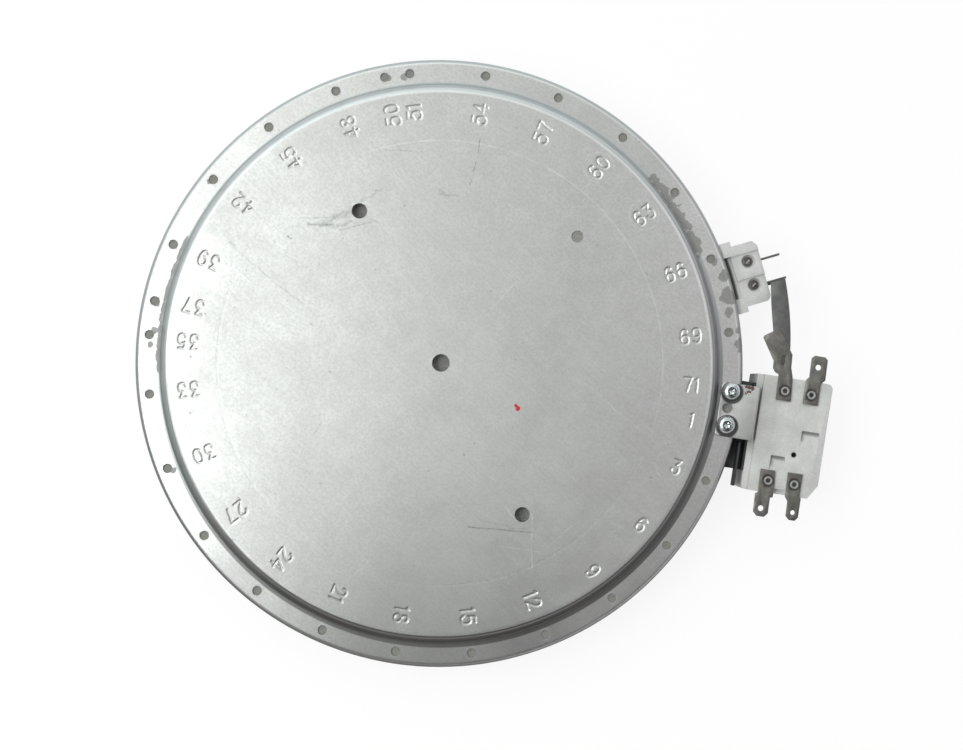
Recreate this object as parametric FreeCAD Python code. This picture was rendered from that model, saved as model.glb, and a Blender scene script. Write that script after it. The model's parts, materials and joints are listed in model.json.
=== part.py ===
import FreeCAD, Part
import math
import os

V = FreeCAD.Vector

# Radiant heating element for a glass cooktop, 230 mm class, with its rod limiter.
# It lies face down: the face that presses on the glass is at z = 0 and the stamped
# base plate looks up. The origin is on the pan's axis, +X runs along the limiter's rod
# to its ceramic head, and the ribbon's terminal block stands at TERMINAL_ANGLE.
# All sizes are millimetres and degrees.

# Sheet pan
PAN_DIAMETER = 230.0
TOTAL_HEIGHT = 28.5        # glass face to the outside of the base plate
SHEET = 0.6
RIM_HEIGHT = 2.5           # the insulating ring stands this far out of the pan
STEP_DEPTH = 5.0           # base plate above the shelf that carries the index holes
SHELF_WIDTH = 9.4
STEP_SLOPE = 2.4           # radial run of the drawn step
CORNER_RADIUS = 2.0
STEP_FILLET = 1.1

# Holes in the pan
INDEX_INSET = 5.0          # circle of the index holes, from the pan's wall
SCREW_INSET = 4.3          # the bracket's two screws, from the pan's wall
INDEX_HOLE = 3.3
INDEX_PITCH_DEG = 5.0
INDEX_NUMBERS = [0, 3, 6, 9, 12, 15, 18, 21, 24, 27, 30, 33, 39, 42, 45, 48, 50, 51,
                 54, 57, 60, 63, 66, 69]
PAIR_OFFSET_DEG = 3.34     # the two bracket screws, and the two holes opposite them
CENTRE_HOLE = 6.5
SPRING_HOLE = 5.6
SPRING_PCD = 129.2
SPRING_ANGLE = 127.1
LOCATING_HOLE = 4.4
LOCATING_RADIUS = 70.0
LOCATING_ANGLE = 51.7
HOLE_POCKET = 4.0          # depth of the hollows in the insulation behind the holes
POCKET_MARGIN = 0.5        # by which a hollow is wider than its hole, all round

# Insulation
RING_WALL = 12.2
RING_GAP = 0.2             # ring to the pan's wall
DISC_GAP = 0.4             # ring to the base disc
DISC_FACE = 17.0           # height of the disc's hot face
RING_BACK_CHAMFER = 1.6
RING_FACE_CHAMFER = 0.8
DISC_CHAMFER = 1.2

# Heating ribbon
RIBBON_HEIGHT = 6.0
RIBBON_THICKNESS = 0.5
RIBBON_DEPTH = 2.0         # how deep it stands in the disc
WAVE_HEIGHT = 1.4          # half the width of the corrugation
WAVE_STEP = 3.3            # length of one leg of the corrugation
TRACK_PITCH = 10.5
TRACK_INSET = 9.1          # outermost track, from the disc's edge
INNER_TRACK = 14.0         # no track is tighter than this
TURN_MARGIN = 2.5          # bend of the ribbon to the line between the two halves
CHANNEL_GAP = 0.4          # ribbon to the side of its channel
LEAD_GAP = 2.0             # first wave of the ribbon, clear of the terminal's screws
LEAD_ROOM = 1.1            # hollow of the disc at the blades, beyond that wave

# Terminal block of the ribbon
TERMINAL_ANGLE = 25.1
BLOCK_DEPTH = 11.0
BLOCK_WIDTH = 23.7
BLOCK_STANDOFF = 2.4       # body to the pan, between the ears
BLOCK_LOW = 9.0
BLOCK_HIGH = 21.6
BLOCK_STEP = 0.7           # each of the two ledges across the block
LEDGE_FIRST = 8.0
LEDGE_SECOND = -1.5
EAR_REACH = 2.0
EAR_DEPTH = 1.2
NECK_WIDTH = 16.4
NECK_LOW = 11.6
NECK_HIGH = 19.6
WINDOW_GAP = 0.3
BLADE_WIDTH = 6.3
BLADE_THICKNESS = 0.8
BLADE_LOW = 12.6
BLADE_OUT = 8.1            # free length outside the block
BLADE_REACH = 3.5          # blades end this far outside the outermost track
WELD_LENGTH = 3.5          # flat lead of the ribbon along a blade
FREE_BLADE_AT = 4.1
BRIDGED_BLADE_AT = -5.1
FIXING_AT = 4.6
FIXING_SETBACK = 4.9       # screws, from the block's outer face
FIXING_RECESS = 5.2
FIXING_SCREW = 3.8
RECESS_DEPTH = 1.1
SCREW_PROUD = 0.4          # terminal screw above the floor of its recess
SOCKET = 2.0
SOCKET_DEPTH = 0.9
SLOT_GAP = 0.1             # blade to the side of its slot
BLOCK_CHAMFER = (1.6, 2.2)
BLOCK_CORNER = 2.4
BRIDGE_WIDTH = 5.6
BRIDGE_AT = 1.0            # its ear, from the block's outer face
BRIDGE_EAR_DROP = 2.0      # lower end of the ear above the blade's edge
BRIDGE_FOOT = (-2.2, 2.2)  # its foot, from the first rivet line and the head's end
BRIDGE_LEFT = [(-3.0, 0.0), (-5.5, 14.9)]
BRIDGE_RIGHT = [(3.2, 0.0), (2.0, 8.6)]
BRIDGE_BOW = [(-0.2, -0.1), (0.7, 0.4)]

# Rod limiter: tube and rod
ROD_HEIGHT = 8.0
TUBE_OUTER = 5.0
TUBE_INNER = 2.8
ROD_DIAMETER = 2.0
TUBE_CLEARANCE = 0.15
TIP_INSET = 5.7            # tube's far end, from the ring's outside
TIP_LENGTH = 2.5
TIP_DIAMETER = 4.4
PAN_ROD_HOLE = 8.0

# Rod limiter: ceramic head
HEAD_STANDOFF = 5.4        # head to the pan
HEAD_LENGTH = 28.7
HEAD_LEFT = 15.0           # rod axis to the end with the bridged tab
HEAD_RIGHT = 29.4          # rod axis to the other end
HEAD_LOW = 3.4
HEAD_HIGH = 22.6
COVER_THICKNESS = 1.6
COVER_LIP = 0.8
LIP_GAP = 0.2
HEAD_WALL = 3.4            # wall on the pan's side
END_WALL = 2.2
BACK_WALL = 4.5
HEAD_ROOF = 4.0
LEDGE_WIDTH = 2.2
LEDGE_DROP = 2.6
CORNER_CUT = (3.5, 5.4)
HEAD_CORNER = 2.0
FIRST_COLUMN = 10.5        # rivet lines, from the head's face on the pan's side
SECOND_COLUMN = 20.7
SECOND_COLUMN_RIGHT = 19.4
FIRST_COLUMN_RIGHT = 9.3
LEFT_ROW = 9.8             # rivet rows, from the rod axis
RIGHT_ROW = 24.8
ADJUSTER = (17.8, -13.7)
ADJUSTER_HOLE = 1.6
ADJUSTER_BORE = 2.7
ADJUSTER_TIP = 12.3
ADJUSTER_ROOF = 1.2
ADJUSTER_BEVEL = 0.5
TAB_ROOM = 3.05            # half the ceramic land under each right-hand tab
NOTCH_DEPTH = 1.9
NOTCH_DROP = 1.4
POCKET_DEPTH = 1.3
POCKETS = [(19.5, 26.3, -10.8, -4.1), (9.2, 14.6, -22.2, -15.0)]
TAB_THICKNESS = 0.8
RIVET_DIAMETER = 2.9
RIVET_BORE = 1.5
RIVET_HEAD = 3.7
RIVET_HEAD_HEIGHT = 0.7
RIVET_FIT = 0.05
LEAF_THICKNESS = 0.6
LEAF_LOW = 6.0
LEAF_HEIGHT = 6.0
LEAF_MARGIN = 2.0          # rivet or button to the edge of its leaf
BUTTON_DIAMETER = 3.0
BUTTON_HEIGHT = 0.9
BUTTON_AT = -17.5
PIN_DIAMETER = 2.5
ROD_END = 0.5              # rod's far end past its tip
MAIN_LEAF = 8.0            # spring leaves, from the head's face on the pan's side
SIGNAL_LEAF = 18.1
ROD_ENTRY = 2.0            # how far the rod reaches into the head

# Steel plate on the head and the bracket that holds it to the pan
PLATE_THICKNESS = 0.8
PLATE_LEFT = 11.4
PLATE_RIGHT = 22.4
FOOT_HEIGHT = 16.0
FOOT_GAP = 0.1
PLATE_TONGUE = 8.0
EARTH_WIDTH = 4.8
EARTH_THICKNESS = 0.8
EARTH_BACK = 3.5           # its outer face to the head
EARTH_START = 12.0
EARTH_END = 28.8
BRACKET_THICKNESS = 1.0
BRACKET_START = 1.1        # inner edge of the bracket from the foot of the step
BRACKET_OVERHANG = 1.1     # past the head's face
BRACKET_LEFT = 9.7
BRACKET_RIGHT = 10.8
BRACKET_CORNER = 1.2
BRACKET_EYE = 3.9
BRACKET_HOLE = 3.6
SCREW_HEAD = 6.9
SCREW_HEAD_HEIGHT = 2.4
SCREW_SHANK = 3.1
SCREW_END = 17.0
SCREW_RECESS = 3.4
SCREW_RECESS_DEPTH = 1.4
SCREW_CROWN = 1.0
BEND_RADIUS = 0.8

# Heights and radii that follow from the sizes above
pan_radius = PAN_DIAMETER / 2
shelf_top = TOTAL_HEIGHT - STEP_DEPTH
shelf_inner = pan_radius - SHELF_WIDTH
disc_edge = shelf_inner - STEP_SLOPE
wall_inside = pan_radius - SHEET
ring_outer = wall_inside - RING_GAP
ring_inner = ring_outer - RING_WALL
disc_radius = ring_inner - DISC_GAP
ribbon_low = DISC_FACE + RIBBON_DEPTH - RIBBON_HEIGHT
ribbon_high = DISC_FACE + RIBBON_DEPTH
blade_high = BLADE_LOW + BLADE_WIDTH
block_face = pan_radius + BLOCK_STANDOFF
block_end = block_face + BLOCK_DEPTH
index_radius = pan_radius - INDEX_INSET
screw_radius = pan_radius - SCREW_INSET
fixing_radius = block_end - FIXING_SETBACK
outer_track = disc_radius - TRACK_INSET
turn_count = int(((outer_track - INNER_TRACK) / TRACK_PITCH + 1) / 2)
blade_in = outer_track + BLADE_REACH
first_wave = FIXING_AT + WAVE_HEIGHT + LEAD_GAP
tube_tip = ring_outer - TIP_INSET
head_face = pan_radius + HEAD_STANDOFF
head_end = head_face + HEAD_LENGTH
head_ledge = HEAD_HIGH - LEDGE_DROP
cavity_low = HEAD_LOW + COVER_THICKNESS
cavity_high = HEAD_HIGH - HEAD_ROOF
tab_top = HEAD_HIGH + TAB_THICKNESS
main_leaf_x = head_face + MAIN_LEAF
signal_leaf_x = head_face + SIGNAL_LEAF
rod_end = head_face + ROD_ENTRY
pin_bore = TUBE_INNER / 2


def box(x0, x1, y0, y1, z0, z1):
    return Part.makeBox(x1 - x0, y1 - y0, z1 - z0, V(x0, y0, z0))


def post(radius, x, y, z0, z1):
    return Part.makeCylinder(radius, z1 - z0, V(x, y, z0))


def bar(radius, x0, x1, y, z):
    return Part.makeCylinder(radius, x1 - x0, V(x0, y, z), V(1, 0, 0))


def prism(corners, z0, z1):
    points = [V(x, y, z0) for x, y in corners]
    face = Part.Face(Part.makePolygon(points + points[:1]))
    return face.extrude(V(0, 0, z1 - z0))


def turned(profile):
    """Solid of revolution about Z from a closed (radius, height) outline."""
    points = [V(r, 0, z) for r, z in profile]
    face = Part.Face(Part.makePolygon(points + points[:1]))
    return face.revolve(V(0, 0, 0), V(0, 0, 1), 360)


def round_edges(shape, radius, wanted):
    edges = [edge for edge in shape.Edges if wanted(edge)]
    return shape.makeFillet(radius, edges)


def ring_edge(radius, height):
    """Picks the circular edge about Z at that radius and height."""
    def wanted(edge):
        curve = edge.Curve
        return (isinstance(curve, Part.Circle) and abs(curve.Radius - radius) < 0.01
                and abs(curve.Center.z - height) < 0.01)
    return wanted


def upright_edge(x, y):
    """Picks the vertical edge that stands at x, y."""
    def wanted(edge):
        ends = [vertex.Point for vertex in edge.Vertexes]
        return len(ends) == 2 and all(abs(p.x - x) < 0.01 and abs(p.y - y) < 0.01 for p in ends)
    return wanted


def polar(radius, degrees):
    return radius * math.cos(math.radians(degrees)), radius * math.sin(math.radians(degrees))


def to_terminal(shape):
    """Turns a shape drawn with x outwards and y along the rim to the terminal's angle."""
    turned_shape = shape.copy()
    turned_shape.rotate(V(0, 0, 0), V(0, 0, 1), TERMINAL_ANGLE)
    return turned_shape


def index_points():
    angles = [-INDEX_PITCH_DEG * number for number in INDEX_NUMBERS]
    angles += [180 - PAIR_OFFSET_DEG, 180 + PAIR_OFFSET_DEG]
    return [polar(index_radius, angle) for angle in angles]


def screw_points():
    return [polar(screw_radius, PAIR_OFFSET_DEG), polar(screw_radius, -PAIR_OFFSET_DEG)]


def hollowed_holes():
    """Centre, radius of the base plate's holes that have a hollow behind them."""
    spring = SPRING_PCD / 2
    return [((0.0, 0.0), CENTRE_HOLE / 2),
            (polar(spring, SPRING_ANGLE), SPRING_HOLE / 2),
            (polar(spring, SPRING_ANGLE + 180), SPRING_HOLE / 2)]


def base_holes():
    """Centre, radius of every hole in the base plate."""
    return hollowed_holes() + [(polar(LOCATING_RADIUS, LOCATING_ANGLE), LOCATING_HOLE / 2)]


def pan_form(offset):
    """Drawn form of the pan; offset steps inwards from the outer skin by a sheet thickness."""
    slope = math.hypot(STEP_SLOPE, STEP_DEPTH)
    shift = offset * (slope - STEP_SLOPE) / STEP_DEPTH
    low = RIM_HEIGHT - offset
    corner = shelf_inner - shift
    crest = disc_edge - shift
    radius = pan_radius - offset
    shelf = shelf_top - offset
    base = TOTAL_HEIGHT - offset
    form = turned([(0, low), (radius, low), (radius, shelf), (corner, shelf), (crest, base),
                   (0, base)])
    form = round_edges(form, CORNER_RADIUS - offset, ring_edge(radius, shelf))
    form = round_edges(form, STEP_FILLET + offset, ring_edge(corner, shelf))
    return round_edges(form, STEP_FILLET + SHEET - offset, ring_edge(crest, base))


def make_pan():
    pan = pan_form(0).cut(pan_form(SHEET))
    tools = [post(INDEX_HOLE / 2, x, y, shelf_top - 2, shelf_top + 2)
             for x, y in index_points() + screw_points()]
    tools += [post(radius, x, y, TOTAL_HEIGHT - 2, TOTAL_HEIGHT + 2)
              for (x, y), radius in base_holes()]
    tools.append(bar(PAN_ROD_HOLE / 2, pan_radius - 4, pan_radius + 4, 0, ROD_HEIGHT))
    half = NECK_WIDTH / 2 + WINDOW_GAP
    window = box(pan_radius - 4, pan_radius + 4, -half, half,
                 NECK_LOW - WINDOW_GAP, NECK_HIGH + WINDOW_GAP)
    tools.append(to_terminal(window))
    return pan.cut(tools)


def blade_slots(x0, x1, gap):
    """Room for the two terminal blades between two distances from the axis."""
    slots = []
    for at in (FREE_BLADE_AT, BRIDGED_BLADE_AT):
        half = BLADE_THICKNESS / 2 + gap
        slots.append(to_terminal(box(x0, x1, at - half, at + half,
                                     BLADE_LOW - gap, blade_high + gap)))
    return slots


def make_ring():
    back = shelf_top - SHEET
    ring = turned([(ring_inner, RING_FACE_CHAMFER), (ring_inner + RING_FACE_CHAMFER, 0),
                   (ring_outer - RING_FACE_CHAMFER, 0), (ring_outer, RING_FACE_CHAMFER),
                   (ring_outer, back - RING_BACK_CHAMFER), (ring_outer - RING_BACK_CHAMFER, back),
                   (ring_inner, back)])
    tube = TUBE_OUTER / 2 + TUBE_CLEARANCE
    tip = tube_tip + TIP_LENGTH + 1.0
    tools = [bar(tube, -tip, pan_radius, 0, ROD_HEIGHT)]
    tools += [post(BRACKET_HOLE / 2, x, y, SCREW_END - 0.5, shelf_top) for x, y in screw_points()]
    tools += blade_slots(ring_inner - 2, pan_radius, RING_GAP)
    return ring.cut(tools)


def ribbon_arcs():
    """Centre line of the ribbon as arcs (centre, radius, start, sweep), the terminal on +x."""
    radii = [outer_track - TRACK_PITCH * i for i in range(2 * turn_count)]
    bend = TRACK_PITCH / 2
    start = math.degrees(math.asin(first_wave / outer_track))
    half = []
    angle = start
    for i, radius in enumerate(radii[:-1]):
        middle = radius - bend
        gap = math.degrees(math.asin((bend + TURN_MARGIN) / middle))
        outward = i % 2 == 0
        end = 180 - gap if outward else gap
        half.append(((0.0, 0.0), radius, angle, end - angle))
        half.append((polar(middle, end), bend, end, 180 if outward else -180))
        angle = end
    inner = ((0.0, 0.0), radii[-1], angle, -2 * angle)
    mirrored = []
    for (x, y), radius, begin, sweep in reversed(half):
        mirrored.append(((x, -y), radius, -(begin + sweep), sweep))
    return half + [inner] + mirrored


def make_channel():
    """Closed outline of the ribbon's channel, both sides running along the arcs."""
    reach = WAVE_HEIGHT + RIBBON_THICKNESS / 2 + CHANNEL_GAP
    sides = ([], [])
    for (x, y), radius, begin, sweep in ribbon_arcs():
        turn = 1 if sweep > 0 else -1
        for side, sign in zip(sides, (-turn, turn)):
            ends = [polar(radius + sign * reach, begin + sweep * k) for k in (0, 0.5, 1)]
            side.append([V(x + px, y + py, DISC_FACE - 1) for px, py in ends])
    left, right = sides
    outline = [Part.Arc(*points).toShape() for points in left]
    outline.append(Part.makeLine(left[-1][2], right[-1][2]))
    outline += [Part.Arc(*reversed(points)).toShape() for points in reversed(right)]
    outline.append(Part.makeLine(right[0][0], left[0][0]))
    face = Part.Face(Part.Wire(outline))
    return to_terminal(face.extrude(V(0, 0, RIBBON_DEPTH + 1)))


def make_disc():
    back = TOTAL_HEIGHT - SHEET
    disc = turned([(0, DISC_FACE), (disc_radius, DISC_FACE), (disc_radius, back - DISC_CHAMFER),
                   (disc_radius - DISC_CHAMFER, back), (0, back)])
    half = first_wave + LEAD_ROOM
    pocket = box(outer_track + POCKET_MARGIN, pan_radius, -half, half, DISC_FACE - 1, ribbon_high)
    disc = disc.cut([make_channel(), to_terminal(pocket)])
    return disc.cut([post(radius + POCKET_MARGIN, x, y, back - HOLE_POCKET, back + 1)
                     for (x, y), radius in hollowed_holes()])


def make_ribbon():
    """Corrugated strip on edge: a zigzag along the arcs, with a flat lead at each end."""
    stations = []
    flip = 1
    arcs = ribbon_arcs()
    for n, ((x, y), radius, begin, sweep) in enumerate(arcs):
        legs = max(2, round(radius * math.radians(abs(sweep)) / WAVE_STEP))
        for k in range(legs if n < len(arcs) - 1 else legs + 1):
            angle = begin + sweep * k / legs
            nx, ny = polar(1, angle)
            if sweep < 0:
                nx, ny = -nx, -ny
            px, py = polar(radius, angle)
            stations.append((x + px + nx * WAVE_HEIGHT * flip, y + py + ny * WAVE_HEIGHT * flip,
                             nx, ny))
            flip = -flip
    half = RIBBON_THICKNESS / 2
    first = FREE_BLADE_AT + BLADE_THICKNESS / 2 + half
    last = BRIDGED_BLADE_AT - BLADE_THICKNESS / 2 - half
    lead_in = [(blade_in + WELD_LENGTH, first, 0, 1), (blade_in, first, 0, 1)]
    lead_out = [(blade_in, last, 0, -1), (blade_in + WELD_LENGTH, last, 0, -1)]
    stations = lead_in + stations + lead_out
    one_side = [(x + nx * half, y + ny * half) for x, y, nx, ny in stations]
    other_side = [(x - nx * half, y - ny * half) for x, y, nx, ny in reversed(stations)]
    return to_terminal(prism(one_side + other_side, ribbon_low, ribbon_high))


def block_top(at):
    """Height of the terminal block's stepped top at a place across it."""
    return BLOCK_HIGH - BLOCK_STEP * ((at < LEDGE_FIRST) + (at < LEDGE_SECOND))


def make_block():
    half = BLOCK_WIDTH / 2
    low = NECK_WIDTH / 2
    body = prism([(block_face, -half), (block_end, -half), (block_end, half - BLOCK_CHAMFER[1]),
                  (block_end - BLOCK_CHAMFER[0], half), (block_face, half)],
                 BLOCK_LOW, BLOCK_HIGH)
    body = round_edges(body, BLOCK_CORNER, upright_edge(block_end, -half))
    for near, far in ((low, half + EAR_REACH), (-half - EAR_REACH, -low)):
        body = body.fuse(box(pan_radius - 2, block_face + EAR_DEPTH, near, far,
                             BLOCK_LOW, BLOCK_HIGH))
    body = body.cut(post(pan_radius, 0, 0, BLOCK_LOW - 1, BLOCK_HIGH + 1))
    body = body.fuse(box(ring_outer + 0.1, block_face + 1, -low, low, NECK_LOW, NECK_HIGH))
    tools = [box(pan_radius - 3, block_end + 1, -half - 3, edge, BLOCK_HIGH - depth, BLOCK_HIGH + 1)
             for edge, depth in ((LEDGE_FIRST, BLOCK_STEP), (LEDGE_SECOND, 2 * BLOCK_STEP))]
    for at in (FREE_BLADE_AT, BRIDGED_BLADE_AT):
        side = BLADE_THICKNESS / 2 + SLOT_GAP
        tools.append(box(pan_radius - 3, block_end + 1, at - side, at + side,
                         BLADE_LOW, blade_high))
    for at in (FIXING_AT, -FIXING_AT):
        top = block_top(at)
        tools.append(post(FIXING_RECESS / 2, fixing_radius, at, top - RECESS_DEPTH, top + 1))
        tools.append(post(FIXING_SCREW / 2, fixing_radius, at, blade_high - 0.1, top))
    return to_terminal(body.cut(tools).removeSplitter())


def make_terminal_screws():
    screws = []
    for at in (FIXING_AT, -FIXING_AT):
        top = block_top(at) - RECESS_DEPTH + SCREW_PROUD
        screw = post(FIXING_SCREW / 2, fixing_radius, at, blade_high, top)
        screw = screw.cut(post(SOCKET / 2, fixing_radius, at, top - SOCKET_DEPTH, top + 1))
        screws.append(to_terminal(screw))
    return Part.makeCompound(screws)


def make_blade(at):
    end = block_end + BLADE_OUT
    tip = BLADE_THICKNESS
    corners = [(blade_in, BLADE_LOW), (end - tip, BLADE_LOW), (end, BLADE_LOW + tip),
               (end, blade_high - tip), (end - tip, blade_high), (blade_in, blade_high)]
    points = [V(x, at - BLADE_THICKNESS / 2, z) for x, z in corners]
    face = Part.Face(Part.makePolygon(points + points[:1]))
    return to_terminal(face.extrude(V(0, BLADE_THICKNESS, 0)))


def turned_point(radius, at):
    """Place of a point of the terminal's own frame in the part's frame."""
    cos, sin = polar(1, TERMINAL_ANGLE)
    return V(radius * cos - at * sin, radius * sin + at * cos, 0)


def make_bridge():
    """Flat strip from the second blade down to the head's angled tab, with a folded ear."""
    outside = BRIDGED_BLADE_AT - BLADE_THICKNESS / 2
    ear_in = block_end + BRIDGE_AT
    ear_out = ear_in + BRIDGE_WIDTH
    start = turned_point(ear_in, outside)
    end = turned_point(ear_out, outside)
    foot = V(head_face + FIRST_COLUMN + BRIDGE_FOOT[0], HEAD_LEFT + BRIDGE_FOOT[1], 0)
    left_low, left_high = [foot + V(dx, dy, 0) for dx, dy in BRIDGE_LEFT]
    right_low, right_high = [foot + V(dx, dy, 0) for dx, dy in BRIDGE_RIGHT]
    left_bow, right_bow = [V(dx, dy, 0) for dx, dy in BRIDGE_BOW]
    left_middle = (start + left_high) / 2 + left_bow
    right_middle = (end + right_high) / 2 + right_bow
    edges = [Part.makeLine(start, end),
             Part.Arc(end, right_middle, right_high).toShape(),
             Part.makeLine(right_high, right_low),
             Part.makeLine(right_low, left_low),
             Part.makeLine(left_low, left_high),
             Part.Arc(left_high, left_middle, start).toShape()]
    strip = Part.Face(Part.Wire(edges)).extrude(V(0, 0, TAB_THICKNESS))
    strip.translate(V(0, 0, HEAD_HIGH - TAB_THICKNESS))
    ear = box(ear_in, ear_out, outside - TAB_THICKNESS, outside,
              BLADE_LOW + BRIDGE_EAR_DROP, HEAD_HIGH)
    return strip.fuse(to_terminal(ear)).removeSplitter()


def head_outline(low, high):
    cut_x, cut_y = CORNER_CUT
    form = prism([(head_face, -HEAD_RIGHT), (head_end - cut_x, -HEAD_RIGHT),
                  (head_end, -HEAD_RIGHT + cut_y), (head_end, HEAD_LEFT),
                  (head_face, HEAD_LEFT)], low, high)
    form = round_edges(form, HEAD_CORNER, upright_edge(head_end, HEAD_LEFT))
    return round_edges(form, HEAD_CORNER, upright_edge(head_face, -HEAD_RIGHT))


def cavity(gap, low, high):
    return box(head_face + HEAD_WALL + gap, head_end - BACK_WALL - gap,
               -HEAD_RIGHT + END_WALL + gap, HEAD_LEFT - END_WALL - gap, low, high)


def rivet_points():
    return {"bridged_tab": (head_face + FIRST_COLUMN, LEFT_ROW),
            "feed_tab": (head_face + SECOND_COLUMN, LEFT_ROW),
            "supply_tab": (head_face + FIRST_COLUMN_RIGHT, -RIGHT_ROW),
            "signal_tab": (head_face + SECOND_COLUMN_RIGHT, -RIGHT_ROW)}


def ramp_pocket(x0, x1, y0, y1):
    """Pocket in the head's top that is deepest at y1 and runs out at y0."""
    corners = [(y1, HEAD_HIGH + 1), (y1, HEAD_HIGH - POCKET_DEPTH), (y0, HEAD_HIGH),
               (y0, HEAD_HIGH + 1)]
    points = [V(x0, y, z) for y, z in corners]
    face = Part.Face(Part.makePolygon(points + points[:1]))
    return face.extrude(V(x1 - x0, 0, 0))


def make_head():
    body = head_outline(cavity_low, HEAD_HIGH)
    notch_start = head_face + FIRST_COLUMN_RIGHT + TAB_ROOM
    notch_end = head_face + SECOND_COLUMN_RIGHT - TAB_ROOM
    tools = [cavity(0, HEAD_LOW, cavity_high),
             box(head_face - 1, head_face + LEDGE_WIDTH, -HEAD_RIGHT - 1, HEAD_LEFT + 1,
                 head_ledge, HEAD_HIGH + 1),
             box(notch_start, notch_end, -HEAD_RIGHT - 1, -HEAD_RIGHT + NOTCH_DEPTH,
                 HEAD_HIGH - NOTCH_DROP, HEAD_HIGH + 1),
             bar(pin_bore, head_face - 1, head_face + HEAD_WALL + 1, 0, ROD_HEIGHT)]
    tools += [ramp_pocket(head_face + x0, head_face + x1, y0, y1) for x0, x1, y0, y1 in POCKETS]
    hole = RIVET_DIAMETER / 2 + RIVET_FIT
    tools += [post(hole, x, y, cavity_high - 1, HEAD_HIGH + 1) for x, y in rivet_points().values()]
    x, y = head_face + ADJUSTER[0], ADJUSTER[1]
    tools.append(post(ADJUSTER_HOLE / 2, x, y, cavity_high - 1, HEAD_HIGH + 1))
    tools.append(post(ADJUSTER_BORE / 2, x, y, cavity_high - 1, HEAD_HIGH - ADJUSTER_ROOF))
    tools.append(Part.makeCone(ADJUSTER_HOLE / 2, ADJUSTER_BORE / 2, ADJUSTER_BEVEL,
                               V(x, y, HEAD_HIGH - ADJUSTER_BEVEL)))
    return body.cut(tools)


def make_cover():
    plate = head_outline(HEAD_LOW, cavity_low)
    return plate.fuse(cavity(LIP_GAP, cavity_low - 0.1, cavity_low + COVER_LIP)).removeSplitter()


def make_tab(name, outline):
    """Flat tab from outline points and an eye or a slot, all measured from its rivet."""
    x, y = rivet_points()[name]
    tab = prism([(x + dx, y + dy) for dx, dy in outline], HEAD_HIGH, tab_top)
    tools = [post(RIVET_DIAMETER / 2 + RIVET_FIT, x, y, HEAD_HIGH - 1, tab_top + 1)]
    if name in TAB_EYES:
        dx, dy, diameter = TAB_EYES[name]
        tools.append(post(diameter / 2, x + dx, y + dy, HEAD_HIGH - 1, tab_top + 1))
    if name in TAB_SLOTS:
        (x0, x1), (y0, y1) = TAB_SLOTS[name]
        tools.append(box(x + x0, x + x1, y + y0, y + y1, HEAD_HIGH - 1, tab_top + 1))
    return tab.cut(tools)


def make_rivets():
    low = cavity_high - LEAF_THICKNESS
    rivets = []
    for x, y in rivet_points().values():
        rivet = post(RIVET_DIAMETER / 2, x, y, low - RIVET_HEAD_HEIGHT, tab_top + RIVET_HEAD_HEIGHT)
        rivet = rivet.fuse([post(RIVET_HEAD / 2, x, y, tab_top, tab_top + RIVET_HEAD_HEIGHT),
                            post(RIVET_HEAD / 2, x, y, low - RIVET_HEAD_HEIGHT, low)])
        rivets.append(rivet.cut(post(RIVET_BORE / 2, x, y, low - 2, tab_top + 2)).removeSplitter())
    return Part.makeCompound(rivets)


def upright_sheet(x, outline):
    """Sheet standing across the rod's axis, from (y, z) outline points."""
    points = [V(x, y, z) for y, z in outline]
    face = Part.Face(Part.makePolygon(points + points[:1]))
    return face.extrude(V(LEAF_THICKNESS, 0, 0))


def add_foot(blade, x, rivet_x, row):
    """Folds the foot of a leaf or contact along the roof and bores it for its rivet."""
    low = cavity_high - LEAF_THICKNESS
    foot = box(x, rivet_x + LEAF_MARGIN, row - LEAF_MARGIN, row + LEAF_MARGIN, low, cavity_high)
    hole = post(RIVET_DIAMETER / 2 + RIVET_FIT, rivet_x, row, low - 1, cavity_high + 1)
    return blade.fuse(foot).cut(hole).removeSplitter()


def make_leaf(name, x):
    """Spring leaf: riveted foot under the roof, blade hanging down and along the head."""
    rivet_x, row = rivet_points()[name]
    low, high = LEAF_LOW, LEAF_LOW + LEAF_HEIGHT
    left, right, tip = row - LEAF_MARGIN, row + LEAF_MARGIN, BUTTON_AT - LEAF_MARGIN
    blade = upright_sheet(x, [(right, cavity_high), (left, cavity_high), (left, high),
                              (tip, high), (tip, low), (right, low)])
    return add_foot(blade, x, rivet_x, row)


def make_contact(name, leaf_x):
    """Fixed contact: riveted foot and an upright that carries its button."""
    rivet_x, row = rivet_points()[name]
    x = leaf_x - 2 * BUTTON_HEIGHT - LEAF_THICKNESS
    low, high = LEAF_LOW, LEAF_LOW + LEAF_HEIGHT
    left, right, tip = row - LEAF_MARGIN, row + LEAF_MARGIN, BUTTON_AT + LEAF_MARGIN
    blade = upright_sheet(x, [(left, cavity_high), (right, cavity_high), (right, high),
                              (tip, high), (tip, low), (left, low)])
    return add_foot(blade, x, rivet_x, row)


def make_buttons():
    height = LEAF_LOW + LEAF_HEIGHT / 2
    radius = BUTTON_DIAMETER / 2
    buttons = []
    for x in (main_leaf_x, signal_leaf_x):
        buttons.append(bar(radius, x - BUTTON_HEIGHT, x, BUTTON_AT, height))
        buttons.append(bar(radius, x - 2 * BUTTON_HEIGHT, x - BUTTON_HEIGHT, BUTTON_AT, height))
    return Part.makeCompound(buttons)


def make_pin(x0, x1):
    return bar(PIN_DIAMETER / 2, x0, x1, 0, ROD_HEIGHT)


def make_adjuster():
    x, y = head_face + ADJUSTER[0], ADJUSTER[1]
    return post(ADJUSTER_BORE / 2 - RIVET_FIT, x, y, ADJUSTER_TIP, HEAD_HIGH - ADJUSTER_ROOF)


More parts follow.
